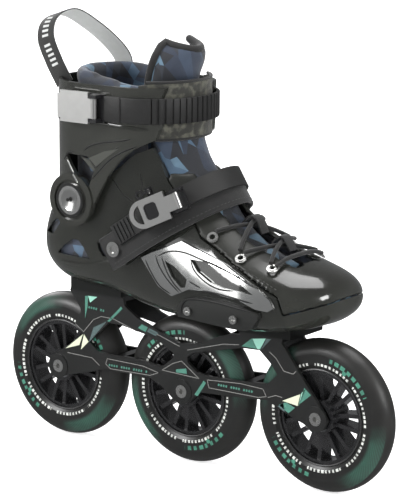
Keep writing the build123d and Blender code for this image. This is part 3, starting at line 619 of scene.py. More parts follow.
BEAD_PLASTIC = Plastic("core_bead", (0.02, 0.02, 0.02), (0.03, 0.03, 0.03), 0.25, 0.6, 0.05)
FRAME_PAINT = Plastic("frame_paint", (0.007, 0.0072, 0.007), (0.013, 0.0135, 0.013), 0.30, 0.3, 0.12, 0.25)
GROOVE_BLACK = Plastic("groove_black", (0.004, 0.004, 0.004), (0.007, 0.007, 0.007), 0.5, 0.5, 0.1)
GREEN_INK = Plastic("green_ink", (0.060, 0.210, 0.155), (0.030, 0.120, 0.090), 0.42, 0.6, 0.1)
MINT_INK = Plastic("mint_ink", (0.250, 0.500, 0.400), (0.160, 0.380, 0.300), 0.42, 0.6, 0.1)
CREAM_INK = Plastic("cream_ink", (0.580, 0.610, 0.440), (0.440, 0.480, 0.360), 0.42, 0.6, 0.1)
SLATE_INK = Plastic("slate_ink", (0.070, 0.110, 0.110), (0.045, 0.075, 0.075), 0.42, 0.6, 0.1)
GREY_INK = Plastic("grey_ink", (0.200, 0.200, 0.190), (0.120, 0.120, 0.115), 0.45, 0.6, 0.1)
INSERT_PLASTIC = Plastic("insert_plastic", (0.006, 0.006, 0.007), (0.012, 0.012, 0.013), 0.35, 1.2, 0.5)
CHROME = Metal("chrome", (0.90, 0.91, 0.89), 0.15, 1.0, 0.02)
DISH_CHROME = Metal("dish_chrome", (0.80, 0.80, 0.78), 0.22, 1.0, 0.06)
STEEL = Metal("bolt_steel", (0.72, 0.72, 0.70), 0.28, 3.0, 0.12)
BEARING_STEEL = Metal("bearing_steel", (0.60, 0.61, 0.62), 0.22, 1.0, 0.05)
CAST_ALUMINIUM = Metal("cast_aluminium", (0.86, 0.86, 0.84), 0.36, 4.0, 0.22)
DARK_METAL = Metal("dark_mount_metal", (0.055, 0.057, 0.055), 0.42, 2.0, 0.15)
TURNED_ALUMINIUM = Metal("turned_aluminium", (0.62, 0.63, 0.64), 0.34, 2.0, 0.15)
LINER_CLOTH = Facets("liner_cloth", 25.0, 0.34, 0.9, 11.0)
TONGUE_CLOTH = Facets("tongue_cloth", 29.0, 0.42, 0.9, 94.0)
PIPING = Cloth("piping", (0.010, 0.010, 0.010), (0.024, 0.024, 0.024), 0.8, 0.1)
LOOP_BLACK = Cloth("loop_black", (0.014, 0.014, 0.0135), (0.045, 0.045, 0.043), 0.9, 0.1)
LOOP_GREY = Cloth("loop_grey", (0.42, 0.43, 0.42), (0.62, 0.63, 0.62), 0.9, 0.1)
LACE_BRAID = Cloth("lace_braid", (0.008, 0.008, 0.008), (0.035, 0.035, 0.034), 1.1, 0.1)
SHIELD_CLOTH = Cloth("shield_cloth", (0.014, 0.014, 0.012), (0.085, 0.085, 0.062), 1.3, 0.75, 0.6)
PAD_CLOTH = Cloth("pad_cloth", (0.007, 0.007, 0.007), (0.016, 0.016, 0.0155), 0.7, 0.25, 0.62)
THREAD = Cloth("thread", (0.030, 0.030, 0.029), (0.070, 0.070, 0.068), 0.4, 0.1)
UPPER_LEATHER = Leather("upper_leather", (0.013, 0.0135, 0.012), (0.026, 0.027, 0.023))
INSOLE_CLOTH = Cloth("insole_cloth", (0.020, 0.022, 0.024), (0.06, 0.065, 0.07), 1.0, 0.3)


# ------------------------------------------------------------------ shapes
@dataclass(frozen=True)
class Station:
    """A point on a path, with the outward and the upward direction of what lies there."""

    point: Vector
    out: Vector
    up: Vector


Section = Callable[[float], list[Point2]]


class Shape:
    """Vertices and faces, in millimetres, of one piece in the making."""

    def __init__(self) -> None:
        """Start empty."""
        self.points: list[Vector] = []
        self.faces: list[tuple[int, ...]] = []

    def sweep(self, stations: Sequence[Station], section: Section, closed: bool = False) -> "Shape":
        """Carry a closed section along a path.

        Args:
            stations: the path.
            section: gives the section's (out, up) corners at a share of the path.
            closed: whether the path comes back to its start.
        Returns:
            This shape.
        """
        base, count, rows = len(self.points), 0, len(stations)
        for k, s in enumerate(stations):
            corners = section(k / (rows if closed else rows - 1))
            count = len(corners)
            self.points += [s.point + s.out * out + s.up * up for out, up in corners]
        for k in range(rows if closed else rows - 1):
            here, there = base + k * count, base + ((k + 1) % rows) * count
            for j in range(count):
                n = (j + 1) % count
                self.faces.append((here + j, here + n, there + n, there + j))
        if not closed:
            self.faces.append(tuple(range(base, base + count)))
            last = base + (rows - 1) * count
            self.faces.append(tuple(reversed(range(last, last + count))))
        return self

    def prism(self, outline: Sequence[Vector], away: Vector) -> "Shape":
        """A flat outline given a thickness.

        Args:
            outline: the corners in order.
            away: the way and the distance that it is thickened.
        Returns:
            This shape.
        """
        base, count = len(self.points), len(outline)
        self.points += list(outline) + [p + away for p in outline]
        self.faces.append(tuple(range(base, base + count)))
        self.faces.append(tuple(reversed(range(base + count, base + 2 * count))))
        for j in range(count):
            n = (j + 1) % count
            self.faces.append((base + j, base + n, base + count + n, base + count + j))
        return self

    def piece(self, name: str, finish: bpy.types.Material, crease: float = 35.0) -> bpy.types.Object:
        """Make the Blender object.

        Args:
            name: the piece's name.
            finish: its material.
            crease: the angle in degrees past which an edge stays sharp.
        Returns:
            The object, at the origin.
        """
        mesh = bpy.data.meshes.new(name)
        mesh.from_pydata([p * MM for p in self.points], [], self.faces)
        mesh.update()
        return finished(mesh, name, finish, crease)


def finished(mesh: bpy.types.Mesh, name: str, finish: bpy.types.Material,
             crease: float = 35.0) -> bpy.types.Object:
    """Turn a mesh's faces outwards, shade it and put it in the scene.

    Args:
        mesh: the mesh, in metres.
        name: the piece's name.
        finish: its material.
        crease: the angle in degrees past which an edge stays sharp.
    Returns:
        The object, at the origin.
    """
    work = bmesh.new()
    work.from_mesh(mesh)
    bmesh.ops.remove_doubles(work, verts=work.verts, dist=1e-6)
    bmesh.ops.recalc_face_normals(work, faces=work.faces)
    for edge in work.edges:
        edge.smooth = edge.calc_face_angle(0.0) < math.radians(crease)
    for face in work.faces:
        face.smooth = True
    work.to_mesh(mesh)
    work.free()
    mesh.materials.clear()
    mesh.materials.append(finish)
    made = bpy.data.objects.new(name, mesh)
    bpy.context.scene.collection.objects.link(made)
    return made


def applied(piece: bpy.types.Object) -> bpy.types.Object:
    """Settle a piece's modifiers into its mesh."""
    depsgraph = bpy.context.evaluated_depsgraph_get()
    depsgraph.update()
    mesh = bpy.data.meshes.new_from_object(piece.evaluated_get(depsgraph))
    piece.modifiers.clear()
    piece.data = mesh
    return piece


def smooth_path(corners: Sequence[Vector], step: float) -> list[Vector]:
    """Points along a curve through every corner.

    Args:
        corners: the points to pass through.
        step: the distance between the points given back.
    Returns:
        The points.
    """
    ends = [2 * corners[0] - corners[1], *corners, 2 * corners[-1] - corners[-2]]
    found = []
    for a, b, c, d in zip(ends, ends[1:], ends[2:], ends[3:]):
        count = max(2, round((c - b).length / step))
        for k in range(count):
            t = k / count
            found.append(0.5 * (2 * b + (c - a) * t + (2 * a - 5 * b + 4 * c - d) * t * t
                                + (3 * b - a - 3 * c + d) * t ** 3))
    return [*found, corners[-1].copy()]


def headings(points: Sequence[Vector]) -> list[Vector]:
    """The direction of a path at each of its points."""
    last = len(points) - 1
    return [(points[min(k + 1, last)] - points[max(k - 1, 0)]).normalized() for k in range(last + 1)]


def circle(centre: Vector, radius: float, face: Vector, steps: int) -> list[Station]:
    """Stations round a circle that stands upright along X.

    Args:
        centre: its centre.
        radius: its radius.
        face: the way that it faces.
        steps: how many stations it has.
    Returns:
        The stations, with out pointing away from the centre.
    """
    ways = [Vector((math.cos(t), 0, math.sin(t))) for t in (math.tau * k / steps for k in range(steps))]
    return [Station(centre + way * radius, way, face) for way in ways]


def rounded(width: float, height: float, corner: float, low: float = 0.0, steps: int = 3) -> list[Point2]:
    """A flat section with rounded outer corners.

    Args:
        width: its size along up.
        height: how far it stands out.
        corner: the radius of its outer corners.
        low: where its underside lies.
        steps: pieces in each corner.
    Returns:
        The (out, up) corners.
    """
    half = width / 2
    found = [(low, -half)]
    for side in (-1, 1):
        for k in range(steps + 1):
            turn = math.pi / 2 * (k / steps if side < 0 else 1 - k / steps)
            out = low + height - corner + corner * math.sin(turn)
            found.append((out, side * (half - corner + corner * math.cos(turn))))
    return [*found, (low, half)]


def bar(radius: float, sides: int = 8) -> list[Point2]:
    """A round section."""
    turns = [math.tau * k / sides for k in range(sides)]
    return [(radius * math.cos(t), radius * math.sin(t)) for t in turns]


def gather(*nodes: str) -> bpy.types.Mesh:
    """One merged copy of some CAD meshes."""
    work = bmesh.new()
    for name in nodes:
        work.from_mesh(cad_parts[name].data)
    bmesh.ops.remove_doubles(work, verts=work.verts, dist=2e-6)
    mesh = bpy.data.meshes.new(nodes[0] + "_copy")
    work.to_mesh(mesh)
    work.free()
    return mesh


class Skin:
    """The outer side of some CAD meshes, which thin pieces are laid on along Y."""

    def __init__(self, *nodes: str, side: int = -1) -> None:
        """Gather the meshes.

        Args:
            nodes: the CAD nodes.
            side: -1 for the outer side of the foot, 1 for the inner.
        """
        work = bmesh.new()
        for name in nodes:
            work.from_mesh(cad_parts[name].data)
        self.tree = BVHTree.FromBMesh(work)
        work.free()
        self.side = side

    def meet(self, x: float, z: float) -> tuple[Vector, Vector] | None:
        """The surface point at x, z and its outward direction, or None past the edge."""
        start = Vector((x * MM, self.side * 0.3, z * MM))
        hit, normal, _, _ = self.tree.ray_cast(start, Vector((0, -self.side, 0)))
        if hit is None:
            return None
        if normal.y * self.side < 0:
            normal = -normal
        return hit / MM, normal

    def stations(self, corners: Sequence[Point2], step: float = 1.5) -> list[Station]:
        """A smooth path laid on the surface.

        Args:
            corners: the path's (x, z) corners.
            step: the distance between stations.
        Returns:
            The stations that met the surface.
        """
        flat = smooth_path([Vector((x, 0, z)) for x, z in corners], step)
        met = [m for m in (self.meet(p.x, p.z) for p in flat) if m]
        found = []
        for k, (point, normal) in enumerate(met):
            ahead = met[min(k + 1, len(met) - 1)][0] - met[max(k - 1, 0)][0]
            if ahead.length < 1e-6:
                continue
            found.append(Station(point, normal, normal.cross(ahead).normalized()))
        return found

    def inlay(self, shape: Shape, corners: Sequence[Point2], width: float, proud: float) -> None:
        """Lay a thin strip along a path.

        Args:
            shape: the shape that it is added to.
            corners: the path's (x, z) corners.
            width: the strip's width.
            proud: how far it stands out of the surface.
        """
        path = self.stations(corners)
        if len(path) < 3:
            return

        def section(share: float) -> list[Point2]:
            """The strip's section, which tapers at both ends."""
            ease = min(1.0, 8 * share + 0.25, 8 * (1 - share) + 0.25)
            return rounded(width * ease, proud + 0.3, min(0.45 * width * ease, proud), -0.3, 2)

        shape.sweep(path, section)

    def patch(self, name: str, outline: Sequence[Point2], proud: float,
              finish: bpy.types.Material) -> bpy.types.Object:
        """Lay a thin plate inside an outline.

        Args:
            name: the piece's name.
            outline: its (x, z) corners.
            proud: how far it stands out of the surface.
            finish: its material.
        Returns:
            The piece.
        """
        work = bmesh.new()
        corners = [work.verts.new((x, 0, z)) for x, z in outline]
        work.faces.new(corners)
        bmesh.ops.triangulate(work, faces=work.faces)
        for _ in range(6):
            long = [e for e in work.edges if e.calc_length() > 3.0]
            if not long:
                break
            bmesh.ops.subdivide_edges(work, edges=long, cuts=1)
            bmesh.ops.triangulate(work, faces=work.faces)
        for vert in work.verts:
            met = self.meet(vert.co.x, vert.co.z)
            vert.co = met[0] + met[1] * proud if met else Vector((vert.co.x, self.side * 47, vert.co.z))
        bmesh.ops.scale(work, vec=(MM, MM, MM), verts=work.verts)
        top = list(work.faces)
        made = bmesh.ops.extrude_face_region(work, geom=top)
        moved = [g for g in made["geom"] if isinstance(g, bmesh.types.BMVert)]
        bmesh.ops.translate(work, vec=(0, -self.side * (proud + 0.4) * MM, 0), verts=moved)
        mesh = bpy.data.meshes.new(name)
        work.to_mesh(mesh)
        work.free()
        return finished(mesh, name, finish)


# ------------------------------------------------------------------ repeated items
class ItemShape(Enum):
    """The shapes that a row of small items may have."""

    STITCH = "stitch"
    BLOCK = "block"


@dataclass(frozen=True)
class ItemRow:
    """One small item set at many places by a Geometry Nodes tree.

    Args:
        shape: the item's shape.
        length: its size along the row, in millimetres.
        width: its size across the row.
        height: how far it stands out, both sides of the surface together.
    """

    shape: ItemShape
    length: float
    width: float
    height: float

    def tree(self, finish: bpy.types.Material) -> bpy.types.GeometryNodeTree:
        """Build the node tree.

        Args:
            finish: the items' material.
        Returns:
            The tree.
        """
        tree = bpy.data.node_groups.new(f"row_of_{self.shape.value}", "GeometryNodeTree")
        face = tree.interface
        face.new_socket("Places", in_out="INPUT", socket_type="NodeSocketGeometry")
        for name in ("Length", "Width", "Height"):
            face.new_socket(name, in_out="INPUT", socket_type="NodeSocketFloat")
        face.new_socket("Items", in_out="OUTPUT", socket_type="NodeSocketGeometry")
        add, link = tree.nodes.new, tree.links.new
        given = add("NodeGroupInput")
        size = add("ShaderNodeCombineXYZ")
        for k, name in enumerate(("Length", "Width", "Height")):
            link(given.outputs[name], size.inputs[k])
        item = self.item(tree)
        sized = add("GeometryNodeTransform")
        link(item, sized.inputs["Geometry"])
        link(size.outputs[0], sized.inputs["Scale"])
        turn = None
        for axis, pivot, name in (("Z", "AUTO", "outward"), ("X", "Z", "onward")):
            read = add("GeometryNodeInputNamedAttribute")
            read.data_type = "FLOAT_VECTOR"
            read.inputs["Name"].default_value = name
            align = add("FunctionNodeAlignRotationToVector")
            align.axis, align.pivot_axis = axis, pivot
            link(read.outputs["Attribute"], align.inputs["Vector"])
            if turn:
                link(turn, align.inputs["Rotation"])
            turn = align.outputs[0]
        copies = add("GeometryNodeInstanceOnPoints")
        link(given.outputs["Places"], copies.inputs["Points"])
        link(sized.outputs[0], copies.inputs["Instance"])
        link(turn, copies.inputs["Rotation"])
        real = add("GeometryNodeRealizeInstances")
        paint = add("GeometryNodeSetMaterial")
        paint.inputs["Material"].default_value = finish
        link(copies.outputs[0], real.inputs[0])
        link(real.outputs[0], paint.inputs["Geometry"])
        link(paint.outputs[0], add("NodeGroupOutput").inputs[0])
        return tree

    def item(self, tree: bpy.types.GeometryNodeTree) -> bpy.types.NodeSocket:
        """Add the node that makes one item, a unit across."""
        if self.shape is ItemShape.STITCH:
            node = tree.nodes.new("GeometryNodeMeshUVSphere")
            node.inputs["Segments"].default_value = 8
            node.inputs["Rings"].default_value = 5
            node.inputs["Radius"].default_value = 0.5
        else:
            node = tree.nodes.new("GeometryNodeMeshCube")
        return node.outputs["Mesh"]

    def piece(self, name: str, places: Sequence[Station], finish: bpy.types.Material) -> bpy.types.Object:
        """Set the items out.

        Args:
            name: the piece's name.
            places: where they go; out is their outward way, up lies across the row.
            finish: their material.
        Returns:
            One plain mesh object of all of them.
        """
        mesh = bpy.data.meshes.new(name)
        mesh.from_pydata([s.point * MM for s in places], [], [])
        for key, ways in (("outward", [s.out for s in places]),
                          ("onward", [s.up.cross(s.out) for s in places])):
            attribute = mesh.attributes.new(key, "FLOAT_VECTOR", "POINT")
            attribute.data.foreach_set("vector", [c for way in ways for c in way])
        made = bpy.data.objects.new(name, mesh)
        bpy.context.scene.collection.objects.link(made)
        modifier = made.modifiers.new("items", "NODES")
        tree = self.tree(finish)
        modifier.node_group = tree
        sizes = {"Length": self.length, "Width": self.width, "Height": self.height}
        for socket in tree.interface.items_tree:
            if socket.name in sizes and socket.in_out == "INPUT":
                modifier[socket.identifier] = sizes[socket.name] * MM
        applied(made)
        whole = made.data
        bpy.data.objects.remove(made)
        return finished(whole, name, finish, 50.0)


def spaced(path: Sequence[Station], pitch: float, gap: float = 0.0) -> list[Station]:
    """Stations at even distances along a path.

    Args:
        path: the path.
        pitch: the distance between them.
        gap: how much is left free at either end.
    Returns:
        The stations chosen.
    """
    found, run, due = [], 0.0, gap
    total = sum((b.point - a.point).length for a, b in zip(path, path[1:]))
    for a, b in zip(path, path[1:]):
        step = (b.point - a.point).length
        while due <= run + step and due <= total - gap:
            t = (due - run) / step if step else 0.0
            out = a.out.lerp(b.out, t).normalized()
            found.append(Station(a.point.lerp(b.point, t), out, a.up.lerp(b.up, t).normalized()))
            due += pitch
        run += step
    return found


# ------------------------------------------------------------------ plans of the leg and the strap
@dataclass(frozen=True)
class LegPlan:
    """The plan outline of the leg: two half ellipses joined by straight sides."""

    half: float = 52.0
    rear_x: float = -80.0
    rear_depth: float = 46.0
    front_x: float = -40.0
    front_depth: float = 48.0

    def path(self, inset: float, start: float, step: float = 1.0) -> list[Station]:
        """The way from the outer side round the shin to the inner side.

        Args:
            inset: how far inside the cuff's outside it runs.
            start: where along X it starts and ends.
            step: the distance between stations.
        Returns:
            The stations, at height 0.
        """
        half, depth = self.half - inset, self.front_depth - inset
        up = Vector((0, 0, 1))
        side = []
        count = max(1, math.ceil((self.front_x - start) / step)) if start < self.front_x else 0
        for k in range(count):
            x = start + (self.front_x - start) * k / count
            side.append(Station(Vector((x, -half, 0)), Vector((0, -1, 0)), up))
        front = []
        turns = math.ceil(math.pi * (half + depth) / 2 / step)
        for k in range(turns + 1):
            t = -math.pi / 2 + math.pi * k / turns
            point = Vector((self.front_x + depth * math.cos(t), half * math.sin(t), 0))
            if point.x < start:
                continue
            out = Vector((math.cos(t) / depth, math.sin(t) / half, 0)).normalized()
            front.append(Station(point, out, up))
        far = [Station(Vector((s.point.x, half, 0)), Vector((0, 1, 0)), up) for s in reversed(side)]
        return side + front + far

    def back(self, inset: float, start: float, step: float = 3.0) -> list[Station]:
        """The way from the outer side round the heel to the inner side.

        Args:
            inset: how far inside the cuff's outside it runs.
            start: where along X it starts and ends.
            step: the distance between stations.
        Returns:
            The stations, at height 0.
        """
        half, depth = self.half - inset, self.rear_depth - inset
        up, begin = Vector((0, 0, 1)), min(start, self.front_x)
        side = [s for s in self.path(inset, begin, step) if begin < s.point.x <= start and s.point.y < 0]
        side.reverse()
        count = max(1, math.ceil((begin - self.rear_x) / step))
        side += [Station(Vector((begin + (self.rear_x - begin) * k / count, -half, 0)),
                         Vector((0, -1, 0)), up) for k in range(count)]
        turns = math.ceil(math.pi * (half + depth) / 2 / step)
        rear = []
        for k in range(turns + 1):
            t = -math.pi / 2 + math.pi * k / turns
            point = Vector((self.rear_x - depth * math.cos(t), half * math.sin(t), 0))
            out = Vector((-math.cos(t) / depth, math.sin(t) / half, 0)).normalized()
            rear.append(Station(point, out, up))
        flip = Vector((1, -1, 1))
        far = [Station(s.point * flip, s.out * flip, up) for s in reversed(side)]
        return side + rear + far


@dataclass(frozen=True)
class StrapPlan:
    """The slanted plan of the instep strap."""

    x: float = -40.8
    z: float = 183.0
    angle: float = math.radians(33.0)
    half: float = 50.6
    flat: float = 22.0
    reach: float = 95.0
    start: float = -11.0

    def path(self, step: float = 1.2) -> list[Station]:
        """The way from the outer anchor over the instep to the inner one."""
        along = Vector((math.cos(self.angle), 0, math.sin(self.angle)))
        up = Vector((-math.sin(self.angle), 0, math.cos(self.angle)))
        origin, side = Vector((self.x, 0, self.z)), Vector((0, 1, 0))
        depth, found = self.reach - self.flat, []
        count = math.ceil((self.flat - self.start) / step)
        for k in range(count):
            d = self.start + (self.flat - self.start) * k / count
            found.append(Station(origin + along * d - side * self.half, -side, up))
        turns = math.ceil(math.pi * (self.half + depth) / 2 / step)
        for k in range(turns + 1):
            t = -math.pi / 2 + math.pi * k / turns
            out = (along * (math.cos(t) / depth) + side * (math.sin(t) / self.half)).normalized()
            point = origin + along * (self.flat + depth * math.cos(t)) + side * self.half * math.sin(t)
            found.append(Station(point, out, up))
        for k in range(1, count + 1):
            d = self.flat + (self.start - self.flat) * k / count
            found.append(Station(origin + along * d + side * self.half, side, up))
        return found


# ------------------------------------------------------------------ sub-assemblies
def dress(finish: bpy.types.Material, *nodes: str) -> None:
    """Give CAD nodes a finish."""
    for name in nodes:
        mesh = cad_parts[name].data
        mesh.materials.clear()
        mesh.materials.append(finish)


def place(piece: bpy.types.Object, body: str, slot: str, *nodes: str) -> bpy.types.Object:
    """Let a piece ride on a body and stand for CAD nodes.

    Args:
        piece: the piece.
        body: the CAD body.
        slot: the record's material slot; not used.
        nodes: the CAD nodes that it stands for.
    Returns:
        The piece.
    """
    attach(piece, body)
    if nodes:
        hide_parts(*nodes)
    log.info("%s rides on %s, %d faces", piece.name, body, len(piece.data.polygons))
    return piece


@dataclass
class Wheels:
    """The three wheels with their bearings and axles."""

    centres: dict[str, float] = field(
        default_factory=lambda: {"rear": -132.5, "middle": 0.0, "front": 132.5})
    turns: dict[str, float] = field(
        default_factory=lambda: {"rear": 158.0, "middle": 62.0, "front": 0.0})
    axle_height: float = 62.5
    half_width: float = 12.0
    bead_path: float = 39.0
    bead_depth: float = 2.0
    bead_radius: float = 0.9

    def build(self) -> None:
        """Dress the wheels and add the bead between tyre and core."""
        hub, steel = HUB_PLASTIC.material(), BEARING_STEEL.material()
        bolt, spacer = STEEL.material(), TURNED_ALUMINIUM.material()
        bead_finish = BEAD_PLASTIC.material()
        for name, centre in self.centres.items():
            dress(TyreRubber(f"{name}_tyre_rubber", centre, self.turns[name]).material(), f"{name}_tyre")
            dress(hub, f"{name}_hub")
            dress(steel, f"{name}_bearing_outer_rings", f"{name}_bearing_inner_rings",
                  f"{name}_bearing_balls")
            dress(spacer, f"{name}_spacer")
            dress(bolt, f"{name}_axle")
            place(self.bead(name, centre, bead_finish), f"{name}_wheel", "wheel_core")
            log.info("%s wheel dressed", name)

    def bead(self, name: str, centre: float, finish: bpy.types.Material) -> bpy.types.Object:
        """The narrow raised bead where the core meets the tyre, on both faces."""
        shape = Shape()
        for side in (-1, 1):
            middle = Vector((centre, side * (self.half_width - self.bead_depth), self.axle_height))
            ring = circle(middle, self.bead_path, Vector((0, side, 0)), 96)
            shape.sweep(ring, lambda share: bar(self.bead_radius), closed=True)
        return shape.piece(f"{name}_core_bead", finish)


@dataclass
class Chassis:
    """The frame between boot and wheels, with its painted facets and lines."""

    face: float = 16.3
    film: float = 0.12
    line_width: float = 0.55
    mark_pitch: float = 2.5
    mark_slant: float = 0.35
    marks_in_a_word: int = 4
    green: Sequence[Sequence[Point2]] = (
        ((-102.4, 128.4), (-99.1, 128.9), (-99.6, 120.2), (-102.4, 109.1)),
        ((-78.4, 110.1), (-75.9, 109.9), (-61.9, 123.2), (-63.5, 124.9)),
        ((-37.5, 107.2), (-45.6, 109.2), (-41.5, 113.0), (-35.1, 111.4)),
        ((-5.5, 80.4), (4.8, 82.8), (5.6, 78.4), (-5.5, 77.8)),
        ((13.6, 62.2), (22.8, 75.5), (25.2, 73.9), (16.7, 61.4)),
        ((60.4, 110.6), (70.4, 118.6), (75.0, 110.8)),
        ((97.5, 68.4), (107.0, 63.0), (113.0, 68.6), (104.5, 71.5)),
        ((121.8, 86.5), (128.0, 81.4), (116.8, 71.9)),
    )
    mint: Sequence[Sequence[Point2]] = (
        ((-99.1, 128.9), (-89.1, 129.4), (-96.9, 123.4)),
        ((70.9, 118.4), (84.0, 120.6), (78.5, 110.9), (75.6, 110.9)),
        ((118.9, 81.4), (123.0, 86.0), (116.5, 70.8)),
    )
    slate: Sequence[Sequence[Point2]] = (
        ((-98.4, 88.6), (-93.3, 102.5), (-79.2, 109.6)),
        ((84.8, 120.6), (89.0, 120.8), (79.6, 110.9)),
        ((96.4, 67.0), (101.8, 70.6), (103.5, 63.4)),
        ((-33.5, 111.0), (-24.0, 108.2), (-27.0, 105.4), (-36.0, 107.6)),
    )
    cream: Sequence[Sequence[Point2]] = (
        ((-124.0, 79.4), (-105.0, 94.6), (-109.0, 84.6)),
        ((-103.8, 94.8), (-98.8, 89.1), (-107.2, 81.0)),
        ((100.9, 72.2), (118.0, 80.6), (115.6, 70.6)),
    )
    lines: Sequence[Sequence[Point2]] = (
        ((-113.2, 102.5), (-104.3, 97.0), (-93.3, 109.2), (-85.0, 113.1), (-71.8, 113.1), (-46.0, 105.9)),
        ((-122.2, 75.9), (-95.1, 75.6), (-86.8, 70.2)),
        ((-80.1, 72.7), (-78.4, 77.6), (-40.0, 77.5), (-24.0, 74.4), (-32.6, 70.7), (-75.1, 69.4),
         (-80.1, 72.7)),
        ((-20.0, 77.4), (-9.0, 84.8), (0.0, 88.4), (18.1, 76.5), (-20.0, 77.4)),
        ((5.9, 98.6), (42.2, 109.4), (58.0, 111.4)),
        ((-2.0, 100.4), (-22.0, 106.2), (-34.0, 108.8)),
        ((87.7, 110.2), (93.9, 106.3), (101.8, 96.8), (111.0, 95.8), (113.5, 98.7)),
        ((28.1, 70.4), (26.4, 76.8), (60.0, 79.4), (81.9, 78.6), (85.2, 72.9), (77.4, 70.9), (28.1, 70.4)),
        ((86.8, 72.5), (94.5, 75.5), (100.6, 74.9)),
        ((124.0, 55.0), (132.5, 52.9), (140.0, 57.0), (142.0, 63.0)),
        ((-141.5, 57.0), (-132.5, 53.4), (-124.0, 58.5)),
    )
    marks: Sequence[tuple[Point2, Point2]] = (
        ((-98.0, 119.2), (-80.0, 118.4)), ((-76.0, 72.4), (-34.0, 73.2)), ((38.0, 74.6), (73.5, 74.6)))

    def build(self) -> None:
        """Dress the frame and lay its graphics on both faces."""
        dress(FRAME_PAINT.material(), "frame")
        dress(STEEL.material(), "frame_bolts")
        dress(DARK_METAL.material(), "mount_blocks")
        for ink, outlines in ((GREEN_INK, self.green), (MINT_INK, self.mint), (SLATE_INK, self.slate),
                              (CREAM_INK, self.cream)):
            shape = Shape()
            for side in (-1, 1):
                for outline in outlines:
                    corners = [Vector((x, side * self.face, z)) for x, z in outline]
                    shape.prism(corners, Vector((0, side * self.film, 0)))
            place(shape.piece(f"frame_{ink.name}", ink.material()), "boot", "frame_paint")
        self.draw_lines()
        self.draw_marks()

    def draw_lines(self) -> None:
        """The thin grey outlines of the graphics."""
        shape = Shape()
        for side in (-1, 1):
            for line in self.lines:
                for a, b in zip(line, line[1:]):
                    start, end = (Vector((x, side * self.face, z)) for x, z in (a, b))
                    across = (end - start).cross(Vector((0, 1, 0))).normalized() * (self.line_width / 2)
                    corners = [start - across, start + across, end + across, end - across]
                    shape.prism(corners, Vector((0, side * self.film, 0)))
        place(shape.piece("frame_lines", GREY_INK.material()), "boot", "frame_paint")

    def draw_marks(self) -> None:
        """Rows of slanted green strokes along the rails."""
        row = ItemRow(ItemShape.BLOCK, 1.5, 1.9, 0.24)
        places = []
        for side in (-1, 1):
            for start, end in self.marks:
                a, b = (Vector((x, side * self.face, z)) for x, z in (start, end))
                out = Vector((0, side, 0))
                up = Vector((self.mark_slant, 0, 1)).normalized()
                count = int((b - a).length / self.mark_pitch)
                shown = [k for k in range(count) if k % (self.marks_in_a_word + 1) != self.marks_in_a_word]
                places += [Station(a.lerp(b, k / count), out, up) for k in shown]
        place(row.piece("frame_marks", places, GREEN_INK.material()), "boot", "frame_paint")


